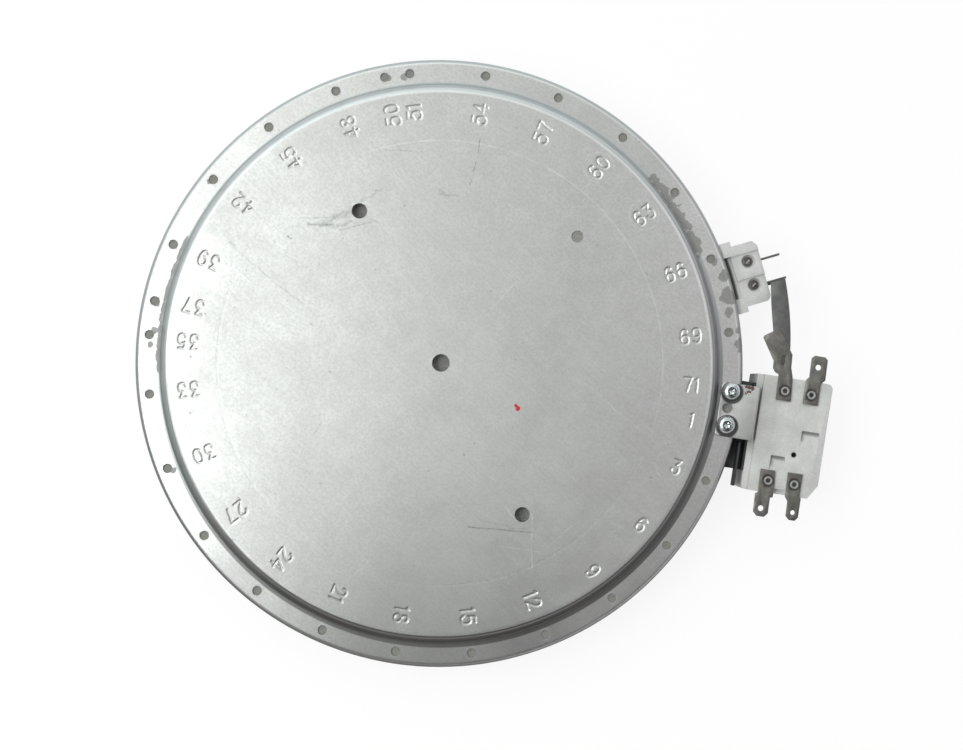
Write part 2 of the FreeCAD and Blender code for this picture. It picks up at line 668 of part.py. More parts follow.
def make_plate():
    """Angled steel plate on the head: flange on its face, foot out to the pan's wall."""
    back = head_face - PLATE_THICKNESS
    flange = box(back, head_face, -PLATE_RIGHT, PLATE_LEFT, cavity_low, head_ledge)
    flange = flange.fuse(box(back, head_face, -PLATE_TONGUE, PLATE_TONGUE, cavity_low, shelf_top))
    foot = box(pan_radius - 4, head_face, -PLATE_RIGHT, PLATE_LEFT,
               FOOT_HEIGHT, FOOT_HEIGHT + PLATE_THICKNESS)
    plate = flange.fuse(foot)
    tools = [post(pan_radius + FOOT_GAP, 0, 0, 0, TOTAL_HEIGHT),
             bar(TUBE_OUTER / 2 + TUBE_CLEARANCE, back - 1, head_face + 1, 0, ROD_HEIGHT)]
    return plate.cut(tools).removeSplitter()


def make_earth_tab():
    low = FOOT_HEIGHT + PLATE_THICKNESS
    x = head_face - EARTH_BACK
    return box(x, x + EARTH_THICKNESS, -EARTH_END, -EARTH_START, low, low + EARTH_WIDTH)


def make_bracket():
    plate_end = head_face + BRACKET_OVERHANG
    low, high = shelf_top, shelf_top + BRACKET_THICKNESS
    start = shelf_inner + BRACKET_START
    plate = box(start, plate_end, -BRACKET_RIGHT, BRACKET_LEFT, low, high)
    for y in (-BRACKET_RIGHT, BRACKET_LEFT):
        plate = round_edges(plate, BRACKET_CORNER, upright_edge(start, y))
    lip = box(plate_end - BRACKET_THICKNESS, plate_end, -BRACKET_RIGHT, BRACKET_LEFT,
              head_ledge, high)
    bracket = plate.fuse(lip).removeSplitter()
    bend = [edge for edge in bracket.Edges
            if all(abs(v.X - plate_end) < 0.01 and abs(v.Z - high) < 0.01 for v in edge.Vertexes)]
    bracket = bracket.makeFillet(BEND_RADIUS, bend)
    tools = [post(BRACKET_HOLE / 2, x, y, low - 1, high + 1) for x, y in screw_points()]
    tools.append(post(BRACKET_EYE / 2, index_radius, 0, low - 1, high + 1))
    return bracket.cut(tools)


def make_bracket_screws():
    seat = shelf_top + BRACKET_THICKNESS
    top = seat + SCREW_HEAD_HEIGHT
    screws = []
    for x, y in screw_points():
        head = post(SCREW_HEAD / 2, x, y, seat, top)
        crown = [edge for edge in head.Edges if all(abs(v.Z - top) < 0.01 for v in edge.Vertexes)
                 and isinstance(edge.Curve, Part.Circle)]
        head = head.makeFillet(SCREW_CROWN, crown)
        screw = head.fuse(post(SCREW_SHANK / 2, x, y, SCREW_END, seat + 0.2))
        socket = post(SCREW_RECESS / 2, x, y, top - SCREW_RECESS_DEPTH, top + 1)
        screws.append(screw.cut(socket).removeSplitter())
    return Part.makeCompound(screws)


def make_tube():
    outer = bar(TUBE_OUTER / 2, -tube_tip, head_face, 0, ROD_HEIGHT)
    return outer.cut(bar(TUBE_INNER / 2, -tube_tip - 1, head_face + 1, 0, ROD_HEIGHT))


def make_rod():
    return bar(ROD_DIAMETER / 2, -tube_tip - TIP_LENGTH - ROD_END, rod_end, 0, ROD_HEIGHT)


def make_tip():
    tip = bar(TIP_DIAMETER / 2, -tube_tip - TIP_LENGTH, -tube_tip, 0, ROD_HEIGHT)
    bore = ROD_DIAMETER / 2 + RIVET_FIT
    return tip.cut(bar(bore, -tube_tip - TIP_LENGTH - 1, -tube_tip + 1, 0, ROD_HEIGHT))


TAB_OUTLINES = {
    "bridged_tab": [(-2.9, -3.7), (2.8, -3.7), (2.1, 5.9), (1.1, 9.1), (0.8, 14.1), (-0.4, 15.8),
                    (-5.3, 23.1), (-7.7, 21.9), (-10.9, 19.7), (-11.2, 18.9), (-5.9, 10.7),
                    (-5.8, 8.0), (-4.8, 6.6), (-3.3, 6.0)],
    "feed_tab": [(-2.7, -3.7), (3.0, -3.7), (3.0, 4.8), (4.5, 6.3), (4.3, 14.1), (3.2, 15.1),
                 (-0.8, 15.1), (-1.9, 14.0), (-1.7, 6.7), (-2.7, 5.6)],
    "supply_tab": [(-3.3, 4.1), (2.3, 4.1), (2.8, -3.2), (2.8, -6.1), (1.8, -6.3), (1.9, -12.3),
                   (0.6, -13.9), (-2.3, -13.9), (-3.8, -12.4), (-4.0, -5.4), (-3.1, -4.9)],
    "signal_tab": [(-2.9, 4.3), (2.7, 4.3), (2.7, -4.1), (3.4, -4.9), (3.4, -12.2), (2.3, -13.6),
                   (0.1, -13.6), (-1.3, -12.3), (-1.5, -6.6), (-2.7, -5.0)],
}
TAB_EYES = {"feed_tab": (1.1, 10.8, 2.2), "supply_tab": (-1.1, -10.8, 2.2),
            "signal_tab": (1.1, -10.6, 1.8)}
TAB_SLOTS = {"bridged_tab": ((-2.9, -1.8), (9.6, 13.4))}

pieces = {
    "base_pan": make_pan(),
    "insulation_ring": make_ring(),
    "insulation_base": make_disc(),
    "heating_ribbon": make_ribbon(),
    "terminal_block": make_block(),
    "terminal_screws": make_terminal_screws(),
    "free_blade": make_blade(FREE_BLADE_AT),
    "bridged_blade": make_blade(BRIDGED_BLADE_AT),
    "bridge_strip": make_bridge(),
    "limiter_head": make_head(),
    "limiter_cover": make_cover(),
    "limiter_rivets": make_rivets(),
    "main_leaf": make_leaf("bridged_tab", main_leaf_x),
    "signal_leaf": make_leaf("feed_tab", signal_leaf_x),
    "main_contact": make_contact("supply_tab", main_leaf_x),
    "signal_contact": make_contact("signal_tab", signal_leaf_x),
    "contact_buttons": make_buttons(),
    "adjusting_screw": make_adjuster(),
    "transfer_pin": make_pin(rod_end, main_leaf_x),
    "signal_pin": make_pin(main_leaf_x + LEAF_THICKNESS, signal_leaf_x),
    "limiter_tube": make_tube(),
    "limiter_rod": make_rod(),
    "rod_tip": make_tip(),
    "limiter_plate": make_plate(),
    "earth_tab": make_earth_tab(),
    "limiter_bracket": make_bracket(),
    "bracket_screws": make_bracket_screws(),
}
for name, outline in TAB_OUTLINES.items():
    pieces[name] = make_tab(name, outline)

os.makedirs("parts", exist_ok=True)
for node, shape in pieces.items():
    if len(shape.Solids) == 1:
        shape = shape.Solids[0]
    print(node, shape.ShapeType, shape.isValid(), len(shape.Solids), round(shape.Volume, 1))
    shape.exportStep("parts/" + node + ".step")
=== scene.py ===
import json
import math

import bmesh
import bpy
import numpy as np
from mathutils import Matrix, Vector


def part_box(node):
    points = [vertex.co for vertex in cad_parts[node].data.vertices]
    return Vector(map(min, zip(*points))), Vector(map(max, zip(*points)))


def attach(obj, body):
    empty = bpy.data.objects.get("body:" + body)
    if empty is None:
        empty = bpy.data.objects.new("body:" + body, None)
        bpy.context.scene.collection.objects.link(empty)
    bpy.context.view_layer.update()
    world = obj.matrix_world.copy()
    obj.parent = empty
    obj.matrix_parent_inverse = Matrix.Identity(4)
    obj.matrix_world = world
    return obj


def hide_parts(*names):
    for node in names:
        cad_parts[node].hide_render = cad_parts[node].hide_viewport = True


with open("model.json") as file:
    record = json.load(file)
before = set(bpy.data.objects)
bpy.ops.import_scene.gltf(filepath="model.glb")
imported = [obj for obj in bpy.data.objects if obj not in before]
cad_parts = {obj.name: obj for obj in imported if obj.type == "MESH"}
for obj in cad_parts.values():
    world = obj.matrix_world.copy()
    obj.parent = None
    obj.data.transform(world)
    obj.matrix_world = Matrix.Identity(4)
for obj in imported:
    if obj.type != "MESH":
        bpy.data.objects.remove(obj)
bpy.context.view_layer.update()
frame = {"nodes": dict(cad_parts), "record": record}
MM = 0.001


def polar(radius, degrees):
    turn = math.radians(degrees)
    return radius * math.cos(turn), radius * math.sin(turn)


def box_of(node):
    """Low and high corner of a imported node, in millimetres."""
    return [Vector(corner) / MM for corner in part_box(node)]


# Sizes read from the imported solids, in millimetres
pan_low, pan_high = box_of("base_pan")
bracket_low, bracket_high = box_of("limiter_bracket")
head_low, head_high = box_of("limiter_head")
plate_low = box_of("limiter_plate")[0]
PAN_RADIUS = pan_high.x
PAN_TOP = pan_high.z
PAN_RIM = pan_low.z
CERAMIC_TOP = head_high.z
TAB_TOP = box_of("feed_tab")[1].z

# Drawn form of the pan, in millimetres
SHEET = 0.6
STEP_DEPTH = 5.0
SHELF_WIDTH = 9.4
STEP_SLOPE = 2.4
CORNER_RADIUS = 2.0
STEP_FILLET = 1.1
CREST_FILLET = STEP_FILLET + SHEET
SHELF_TOP = PAN_TOP - STEP_DEPTH
SHELF_INNER = PAN_RADIUS - SHELF_WIDTH
DISC_EDGE = SHELF_INNER - STEP_SLOPE
STEP_MIDDLE = (DISC_EDGE + SHELF_INNER) / 2
CREST_RADIUS = DISC_EDGE - 1.3
FAINT_RING_RADIUS = 83.5
FAINT_RING_FORM = [(-0.9, 0), (-0.6, 0), (-0.25, 0.008), (0, 0.014), (0.25, 0.008), (0.6, 0), (0.9, 0)]

# Holes: circles, angles and diameters, and the window of the terminal block's neck
INDEX_RADIUS = PAN_RADIUS - 5.0
SCREW_RADIUS = PAN_RADIUS - 4.3
PAIR_OFFSETS = (3.34, -3.34)
INDEX_HOLE = 3.3
INDEX_PITCH_DEG = 5.0
INDEX_HOLES = [0, 3, 6, 9, 12, 15, 18, 21, 24, 27, 30, 33, 39, 42, 45, 48, 50, 51,
               54, 57, 60, 63, 66, 69]
BASE_HOLES = [(0.0, 0.0, 6.5), (64.6, 127.1, 5.6), (64.6, 307.1, 5.6), (70.0, 51.7, 4.4)]
ROD_HEIGHT = 8.0
ROD_HOLE = 8.0
TERMINAL_ANGLE = 25.1
WINDOW_HALF, WINDOW_LOW, WINDOW_HIGH = 8.5, 11.3, 19.9
HOLE_FLARE = 0.18
HOLE_SIDES = 36

# Places on the terminal block and the limiter's head
NECK_TOP = 19.7
TERMINAL_TURN = Matrix.Rotation(math.radians(TERMINAL_ANGLE), 2)
TERMINAL_SCREWS = [(*(TERMINAL_TURN @ Vector((PAN_RADIUS + 8.5, at))), top)
                   for at, top in ((4.6, 20.2), (-4.6, 19.5))]
ADJUSTER_SPOT = (head_low.x + 17.8, -13.7)
HEAD_POCKETS = [(head_low.x + x0, head_low.x + x1, y0, y1)
                for x0, x1, y0, y1 in ((19.5, 26.3, -10.8, -4.1), (9.2, 14.6, -22.2, -15.0))]
RIVETS = {"bridged": (head_low.x + 10.5, 9.8), "feed": (head_low.x + 20.7, 9.8),
          "supply": (head_low.x + 9.3, -24.8), "signal": (head_low.x + 19.4, -24.8)}
SCREW_SPOTS = [polar(SCREW_RADIUS, off) for off in PAIR_OFFSETS]

# Sunk numbers: clockwise degrees of each, and the pen that writes them
NUMBERS = {n: INDEX_PITCH_DEG * n for n in (3, 6, 9, 12, 15, 18, 21, 24, 27, 30, 33, 39, 42, 45, 48, 50,
                                            51, 54, 57, 60, 63, 66, 69)}
NUMBERS.update({1: 4.0, 35: 175.9, 37: 184.0, 71: 356.1})
LAST_DIGIT_RADIUS = 96.8
DIGIT_PITCH = 4.6
NARROW_PITCH = 3.5
DIGIT_HALF_WIDTH = 1.5
DIGIT_HALF_HEIGHT = 2.6
PEN_HALF = 0.54
PEN_SLOPE = 0.40
NUMBER_DEPTH = 0.27

# Mesh of the numbers' band: rows in millimetres, columns in degrees
BAND_START = 88.9
BAND_END = 99.9
ROW_PITCH = 0.3
NUMBER_REACH_DEG = 2.45
FINE_COLUMN_DEG = 0.14
COARSE_COLUMN_DEG = 2.5

# Bracket screws: the head's form as inset from its edge and height, and its six-point recess
SCREW_SIDES = 72
SCREW_HEAD_RADIUS = 3.45
SCREW_DOME = [(0.1, 0), (0, 0.15), (0, 0.9), (0.25, 1.55), (0.75, 2.02), (1.35, 2.3), (1.7, 2.4)]
LOBES = 6
LOBE_RADIUS = 1.42
LOBE_DEPTH = 0.26
LOBE_TURN_DEG = 17
RECESS_FLOOR = 1.1
RECESS_TIP = 0.45
RECESS_FLARE = 1.06

# Tubular rivets of the tabs: radii, and depths from the tab's top
RIVET_BORE = 0.75
RIVET_COLLAR = 1.85
RIVET_SHANK = 1.45
RIVET_LENGTH = 5.3
RIVET_ROLL = 0.6
RIVET_BORE_DEPTH = 1.2

# Terminal screws: radius and depth below the top, and the bright blade in each
CUP_FORM = [(0, 0.7), (1.85, 0.7), (1.85, 0.35), (1.6, 0.1), (1.35, 0.05), (1.2, 0.3), (1.1, 0.6),
            (0, 0.6)]
CUP_BLADE_HALF = (0.22, 0.95)
CUP_BLADE_DEPTHS = (0.65, 0.1)
CUP_BLADE_TURN_DEG = -34

# Ribbon: tracks, waves and leads
TRACK_COUNT = 8
TRACK_PITCH = 10.5
OUTER_TRACK = 92.5
TURN_MARGIN = 2.5
FIRST_WAVE_AT = 8.0
WAVE_LENGTH = 4.0
WAVE_REACH = 1.3
POINTS_PER_WAVE = 12
FOIL_HALF = 0.11
LEAD_INNER, LEAD_OUTER = 96.0, 99.4
FREE_LEAD_AT, BRIDGED_LEAD_AT = 4.75, -5.75

# Broken edges: weld distance in millimetres, and the angles of a flat join and of an edge
WELD = 0.002
FLAT_DEG = 1.0
EDGE_DEG = 30.0

# Meshes and objects


def add_mesh(name, points, faces):
    """New object from points in millimetres."""
    mesh = bpy.data.meshes.new(name)
    mesh.from_pydata([tuple(c * MM for c in p) for p in points], [], faces)
    mesh.update()
    piece = bpy.data.objects.new(name, mesh)
    bpy.context.scene.collection.objects.link(piece)
    return piece


def smooth(piece, degrees):
    piece.data.shade_smooth()
    piece.data.set_sharp_from_angle(angle=math.radians(degrees))


def apply_modifiers(piece):
    graph = bpy.context.evaluated_depsgraph_get()
    mesh = bpy.data.meshes.new_from_object(piece.evaluated_get(graph))
    piece.modifiers.clear()
    old = piece.data
    piece.data = mesh
    bpy.data.meshes.remove(old)


def revolve(profile, sides, place=(0, 0)):
    """Points and faces of a closed turned body; profile runs from axis to axis, bottom first."""
    points = []
    faces = []
    rings = []
    for radius, height in profile:
        count = 1 if radius < 1e-6 else sides
        rings.append(list(range(len(points), len(points) + count)))
        for k in range(count):
            x, y = polar(radius, 360 * k / sides)
            points.append((place[0] + x, place[1] + y, height))
    for lower, upper in zip(rings, rings[1:]):
        for k in range(sides):
            after = (k + 1) % sides
            if len(lower) == 1:
                faces.append((lower[0], upper[after], upper[k]))
            elif len(upper) == 1:
                faces.append((lower[k], lower[after], upper[0]))
            else:
                faces.append((lower[k], lower[after], upper[after], upper[k]))
    return points, faces


def joined(bodies):
    """One list of points and faces from several."""
    points = []
    faces = []
    for some_points, some_faces in bodies:
        base = len(points)
        points += some_points
        faces += [tuple(base + i for i in face) for face in some_faces]
    return points, faces


def block(x0, x1, y0, y1, z0, z1, turn):
    corners = [(x, y, z) for z in (z0, z1) for x, y in ((x0, y0), (x1, y0), (x1, y1), (x0, y1))]
    cos, sin = polar(1, turn)
    points = [(x * cos - y * sin, x * sin + y * cos, z) for x, y, z in corners]
    faces = [(3, 2, 1, 0), (4, 5, 6, 7), (0, 1, 5, 4), (1, 2, 6, 5), (2, 3, 7, 6), (3, 0, 4, 7)]
    return points, faces


def cut_away(piece, tools, solver="MANIFOLD"):
    """Cuts closed bodies out of a piece."""
    cutter = add_mesh("cutter", *joined(tools))
    modifier = piece.modifiers.new("cut", "BOOLEAN")
    modifier.operation = "DIFFERENCE"
    modifier.solver = solver
    modifier.object = cutter
    apply_modifiers(piece)
    mesh = cutter.data
    bpy.data.objects.remove(cutter)
    bpy.data.meshes.remove(mesh)


def rounded(corners, steps=6):
    """Line through (r, z) corners; a corner with a third value is rounded to that radius."""
    line = []
    for i, corner in enumerate(corners):
        here = Vector(corner[:2])
        if len(corner) < 3:
            line.append(tuple(here))
            continue
        radius = corner[2]
        back = (Vector(corners[i - 1][:2]) - here).normalized()
        ahead = (Vector(corners[i + 1][:2]) - here).normalized()
        half = back.angle(ahead) / 2
        reach = radius / math.tan(half)
        centre = here + (back + ahead).normalized() * radius / math.sin(half)
        first = here + back * reach - centre
        last = here + ahead * reach - centre
        sweep = first.angle_signed(last)
        for k in range(steps + 1):
            turned = first.copy()
            turned.rotate(Matrix.Rotation(-sweep * k / steps, 2))
            line.append(tuple(centre + turned))
    return line


# Strokes of the digits: x -1 to 1 in the reading direction, y -1 to 1 upwards
DIGITS = {
    "0": [[(0, 1), (-0.72, 0.82), (-1, 0), (-0.72, -0.82), (0, -1), (0.72, -0.82), (1, 0),
           (0.72, 0.82), (0, 1)]],
    "1": [[(-0.45, 0.72), (-0.1, 0.86), (0, 1), (0, -1)]],
    "2": [[(-0.9, 0.5), (-0.75, 0.9), (0, 1.06), (0.8, 0.88), (0.85, 0.35), (0.3, -0.15),
           (-0.6, -0.7), (-0.95, -1)], [(-0.95, -1), (0.95, -1)]],
    "3": [[(-0.85, 1), (0.7, 1)], [(0.7, 1), (-0.15, 0.2)],
          [(-0.15, 0.2), (0.65, 0.12), (0.98, -0.4), (0.7, -0.92), (0, -1.05), (-0.7, -0.92),
           (-0.95, -0.5)]],
    "4": [[(0.35, 1), (-1, -0.42)], [(-1, -0.42), (1, -0.42)], [(0.35, 1), (0.35, -1)]],
    "5": [[(0.8, 1), (-0.62, 1)], [(-0.62, 1), (-0.8, 0.1)],
          [(-0.8, 0.1), (-0.2, 0.36), (0.75, 0.25), (0.98, -0.35), (0.7, -0.95), (-0.1, -1.05),
           (-0.75, -0.92), (-0.95, -0.6)]],
    "6": [[(0.72, 0.78), (0.3, 1.05), (-0.5, 0.95), (-0.95, 0.2), (-0.95, -0.5), (-0.5, -1.02),
           (0.35, -1.05), (0.92, -0.7), (0.9, -0.1), (0.3, 0.2), (-0.5, 0.1), (-0.9, -0.3)]],
    "7": [[(-0.95, 1), (0.95, 1)], [(0.95, 1), (0.35, 0.1), (-0.1, -1)]],
    "8": [[(0, 1.03), (-0.75, 0.85), (-0.72, 0.25), (0, 0.05), (0.85, -0.2), (0.9, -0.8),
           (0, -1.06), (-0.9, -0.8), (-0.85, -0.2), (0, 0.05), (0.72, 0.25), (0.75, 0.85),
           (0, 1.03)]],
}
DIGITS["9"] = [[(-x, -y) for x, y in stroke] for stroke in DIGITS["6"]]


def rounder(stroke, rounds=2):
    """Corner cutting that keeps the stroke's two ends."""
    for _ in range(rounds if len(stroke) > 2 else 0):
        line = [stroke[0]]
        for (ax, ay), (bx, by) in zip(stroke, stroke[1:]):
            line.append((0.75 * ax + 0.25 * bx, 0.75 * ay + 0.25 * by))
            line.append((0.25 * ax + 0.75 * bx, 0.25 * ay + 0.75 * by))
        line.append(stroke[-1])
        stroke = line
    return stroke


def number_lines(number):
    """Pen lines of a number in millimetres: x from the pan's axis outwards, y along the circle."""
    text = str(number)
    pitch = NARROW_PITCH if "1" in text else DIGIT_PITCH
    lines = []
    for k, digit in enumerate(reversed(text)):
        centre = LAST_DIGIT_RADIUS - pitch * k
        for stroke in DIGITS[digit]:
            lines.append([(centre + x * DIGIT_HALF_WIDTH, y * DIGIT_HALF_HEIGHT)
                          for x, y in rounder(stroke)])
    return lines


def pen_distance(x, y, lines):
    """Distance of each point of two arrays from the nearest pen line."""
    nearest = np.full(x.shape, np.inf)
    for line in lines:
        for (ax, ay), (bx, by) in zip(line, line[1:]):
            dx, dy = bx - ax, by - ay
            along = ((x - ax) * dx + (y - ay) * dy) / (dx * dx + dy * dy)
            along = np.clip(along, 0, 1)
            nearest = np.minimum(nearest, np.hypot(x - ax - along * dx, y - ay - along * dy))
    return nearest


# Node trees


class Tree:
    """A node tree that is filled by short calls."""

    def __init__(self, tree):
        self.tree = tree

    def add(self, kind, feeds=None, **settings):
        node = self.tree.nodes.new(kind)
        for key, value in settings.items():
            setattr(node, key, value)
        for key, value in (feeds or {}).items():
            self.feed(node.inputs[key], value)
        return node

    def feed(self, socket, value):
        """Links a socket, or sets it; a plain colour gets its alpha here."""
        if isinstance(value, bpy.types.NodeSocket):
            self.tree.links.new(value, socket)
        else:
            socket.default_value = (*value, 1) if socket.type == "RGBA" else value

    def maths(self, operation, a, b=0.5, clamp=False):
        node = self.add("ShaderNodeMath", {0: a, 1: b}, operation=operation, use_clamp=clamp)
        return node.outputs[0]

    def times(self, a, b):
        return self.maths("MULTIPLY", a, b)

    def total(self, *terms):
        """Sum of values, each given with its weight."""
        level = 0.0
        for value, weight in terms:
            level = self.maths("ADD", level, self.times(value, weight))
        return level

    def most(self, first, *masks):
        """The strongest of several masks."""
        for mask in masks:
            first = self.maths("MAXIMUM", first, mask)
        return first

    def vector(self, operation, a, b=(0, 0, 0)):
        node = self.add("ShaderNodeVectorMath", {0: a, 1: b}, operation=operation)
        return node.outputs["Value" if operation in ("LENGTH", "DOT_PRODUCT") else "Vector"]

    def scaled(self, a, factor):
        node = self.add("ShaderNodeVectorMath", {0: a, "Scale": factor}, operation="SCALE")
        return node.outputs["Vector"]

    def turned(self, vector, angle):
        feeds = {"Vector": vector, "Angle": angle}
        return self.add("ShaderNodeVectorRotate", feeds, rotation_type="Z_AXIS").outputs[0]

    def parts(self, vector):
        """X, Y and Z of a vector."""
        return self.add("ShaderNodeSeparateXYZ", {0: vector}).outputs

    def place(self):
        """Place in the part's frame, in metres."""
        return self.add("ShaderNodeTexCoord").outputs["Object"]

    def spread(self, value, low, high, out_low=0.0, out_high=1.0):
        node = self.add("ShaderNodeMapRange", {"Value": value, "From Min": low, "From Max": high,
                                               "To Min": out_low, "To Max": out_high},
                        interpolation_type="SMOOTHSTEP")
        return node.outputs["Result"]

    def blend(self, mask, a, b):
        return self.add("ShaderNodeMix", {0: mask, 6: a, 7: b}, data_type="RGBA").outputs[2]

    def layered(self, colour, layers):
        """Colour with each (mask, strength, colour) laid over the one before."""
        for mask, strength, over in layers:
            colour = self.blend(self.times(mask, strength), colour, over)
        return colour

    def noise(self, vector, scale, detail, output=0):
        feeds = {"Vector": vector, "Scale": scale, "Detail": detail}
        return self.add("ShaderNodeTexNoise", feeds).outputs[output]

    def grit(self, size, detail, output=0):
        """Plain noise in the part's frame, its grain size in millimetres."""
        return self.noise(self.place(), 1 / (size * MM), detail, output)

    def effect(self, group, **feeds):
        return self.add("ShaderNodeGroup", feeds, node_tree=group).outputs[0]


# Effects that more than one material uses, each a node group with a mask as its output


def effect_group(name, **defaults):
    """Empty group with named inputs; gives its tree, inputs, mask and the place in millimetres."""
    tree = bpy.data.node_groups.new(name, "ShaderNodeTree")
    for label, default in defaults.items():
        kind = "NodeSocketVector" if isinstance(default, tuple) else "NodeSocketFloat"
        socket = tree.interface.new_socket(label, in_out="INPUT", socket_type=kind)
        socket.default_value = default
    tree.interface.new_socket("Mask", in_out="OUTPUT", socket_type="NodeSocketFloat")
    build = Tree(tree)
    entry = build.add("NodeGroupInput")
    leave = build.add("NodeGroupOutput")
    place = build.vector("MULTIPLY", build.place(), (1 / MM, 1 / MM, 1 / MM))
    return build, entry.outputs, leave.inputs[0], place


def mottle_group():
    """Soft clouds: Size in millimetres, cut between Low and High."""
    build, given, mask, place = effect_group("Mottle", Size=10.0, Detail=3.0, Low=0.35, High=0.65,
                                             Seed=(0.0, 0.0, 0.0))
    place = build.vector("ADD", place, given["Seed"])
    noise = build.noise(place, build.maths("DIVIDE", 1.0, given["Size"]), given["Detail"])
    build.feed(mask, build.spread(noise, given["Low"], given["High"]))
    return build.tree


def grain_group():
    """Fine lines of rolled or drawn metal: Stretch squeezes the noise along each axis."""
    build, given, mask, place = effect_group("Rolling Grain", Stretch=(0.05, 2.0, 0.05), Turn=0.0)
    drawn = build.vector("MULTIPLY", build.turned(place, given["Turn"]), given["Stretch"])
    build.feed(mask, build.spread(build.noise(drawn, 1.0, 4.0), 0.3, 0.7))
    return build.tree


def scuff_group():
    """Sparse thin handling scratches across one direction."""
    build, given, mask, place = effect_group("Handling Scratches", Turn=0.0, Cut=0.72, Width=3.0)
    bend = build.noise(place, 0.02, 1.0, "Color")
    bent = build.vector("ADD", place, build.vector("MULTIPLY", bend, (14.0, 14.0, 0.0)))
    squeeze = build.add("ShaderNodeCombineXYZ", {"X": 0.035, "Y": given["Width"], "Z": 0.05})
    drawn = build.vector("MULTIPLY", build.turned(bent, given["Turn"]), squeeze.outputs[0])
    top = build.maths("ADD", given["Cut"], 0.05)
    build.feed(mask, build.spread(build.noise(drawn, 1.0, 2.0), given["Cut"], top))
    return build.tree


def stroke_group():
    """One mark from Start to End, in millimetres, broken up where Ragged is high."""
    build, given, mask, place = effect_group("Single Mark", Start=(0.0, 0.0, 0.0), End=(1.0, 0.0, 0.0),
                                             Width=0.3, Ragged=0.5, Shake=(0.5, 0.5, 0.5), Broken=0.5)
    shake = build.vector("SUBTRACT", given["Shake"], (0.5, 0.5, 0.5))
    place = build.vector("ADD", place, build.scaled(shake, build.times(given["Width"], 2.5)))
    run = build.vector("SUBTRACT", given["End"], given["Start"])
    off = build.vector("SUBTRACT", place, given["Start"])
    square = build.vector("DOT_PRODUCT", run, run)
    along = build.maths("DIVIDE", build.vector("DOT_PRODUCT", off, run), square, clamp=True)
    gap = build.vector("LENGTH", build.vector("SUBTRACT", off, build.scaled(run, along)))
    body = build.spread(gap, 0.0, given["Width"], 1.0, 0.0)
    whole = build.maths("SUBTRACT", 1.0, build.times(given["Broken"], given["Ragged"]))
    build.feed(mask, build.times(body, whole))
    return build.tree


def bloom_group():
    """Patch of oxide round Centre that thins out at Radius, its edge eaten away by Noise."""
    build, given, mask, place = effect_group("Oxide Bloom", Centre=(0.0, 0.0, 0.0), Radius=10.0,
                                             Noise=0.5, Cut=0.5)
    gap = build.vector("LENGTH", build.vector("SUBTRACT", place, given["Centre"]))
    body = build.spread(gap, 0.0, given["Radius"], 0.35, -0.25)
    level = build.maths("ADD", given["Noise"], body)
    build.feed(mask, build.spread(level, given["Cut"], build.maths("ADD", given["Cut"], 0.12)))
    return build.tree


def ring_group():
    """Soft ring of Radius and Width round Centre, seen along z; a spot where Radius is 0."""
    build, given, mask, place = effect_group("Ring Mark", Centre=(0.0, 0.0, 0.0), Radius=80.0, Width=1.0)
    flat = build.vector("MULTIPLY", build.vector("SUBTRACT", place, given["Centre"]), (1, 1, 0))
    off = build.maths("SUBTRACT", build.vector("LENGTH", flat), given["Radius"])
    build.feed(mask, build.spread(build.maths("ABSOLUTE", off), 0.0, given["Width"], 1.0, 0.0))
    return build.tree


def sector_group():
    """1 towards Direction as seen from the axis, fading to 0 where the cosine falls to Edge."""
    build, given, mask, place = effect_group("Sector", Direction=(1.0, 0.0, 0.0), Edge=0.0, Full=1.0)
    flat = build.vector("NORMALIZE", build.vector("MULTIPLY", place, (1, 1, 0)))
    cosine = build.vector("DOT_PRODUCT", flat, given["Direction"])
    build.feed(mask, build.spread(cosine, given["Edge"], given["Full"]))
    return build.tree


def speckle_group():
    """Small grains and pits, Size in millimetres."""
    build, given, mask, place = effect_group("Speckle", Size=0.6, Cut=0.35)
    rate = build.maths("DIVIDE", 1.0, given["Size"])
    cells = build.add("ShaderNodeTexVoronoi", {"Vector": place, "Scale": rate, "Randomness": 1.0})
    half = build.times(given["Cut"], 0.5)
    build.feed(mask, build.spread(cells.outputs["Distance"], half, given["Cut"], 1.0, 0.0))
    return build.tree


MOTTLE = mottle_group()
GRAIN = grain_group()
SCUFF = scuff_group()
STROKE = stroke_group()
BLOOM = bloom_group()
SPECKLE = speckle_group()
RING = ring_group()
SECTOR = sector_group()


def new_material(name):
    material = bpy.data.materials.new(name)
    material.use_nodes = True
    return material, Tree(material.node_tree), material.node_tree.nodes["Principled BSDF"].inputs


def reopened(material):
    """Tree, inputs and present colour of a finished material, for one more layer."""
    inputs = material.node_tree.nodes["Principled BSDF"].inputs
    return Tree(material.node_tree), inputs, inputs["Base Color"].links[0].from_socket


def relief(build, inputs, height, distance, strength=1.0):
    bump = build.add("ShaderNodeBump", {"Height": height, "Strength": strength,
                                        "Distance": distance * MM})
    build.feed(inputs["Normal"], bump.outputs[0])


# Camera, as fitted to the photograph
PHOTO_WIDTH = 963
PHOTO_CENTRE = (481.5, 375.0)
FOCAL_PX = 1686.3
SENSOR_MM = 36.0
CLIP_START = 0.01
CAMERA_PLACE = Vector((-5.2, -8.5, 660.6))
ROLL = math.radians(8.91)
TILT_X = math.radians(-0.36)
TILT_Y = math.radians(1.85)
roll = Matrix.Rotation(ROLL, 3, "Z")
tilt = Matrix.Rotation(TILT_X, 3, "X") @ Matrix.Rotation(TILT_Y, 3, "Y")
camera_turn = roll @ tilt.transposed()
camera_place = roll @ CAMERA_PLACE


def seen(u, v, height):
    """Place, in millimetres, of a photograph pixel on the level plane of that height."""
    ray = camera_turn @ Vector(((u - PHOTO_CENTRE[0]) / FOCAL_PX,
                                (PHOTO_CENTRE[1] - v) / FOCAL_PX, -1))
    return tuple(camera_place + ray * (camera_place.z - height) / -ray.z)


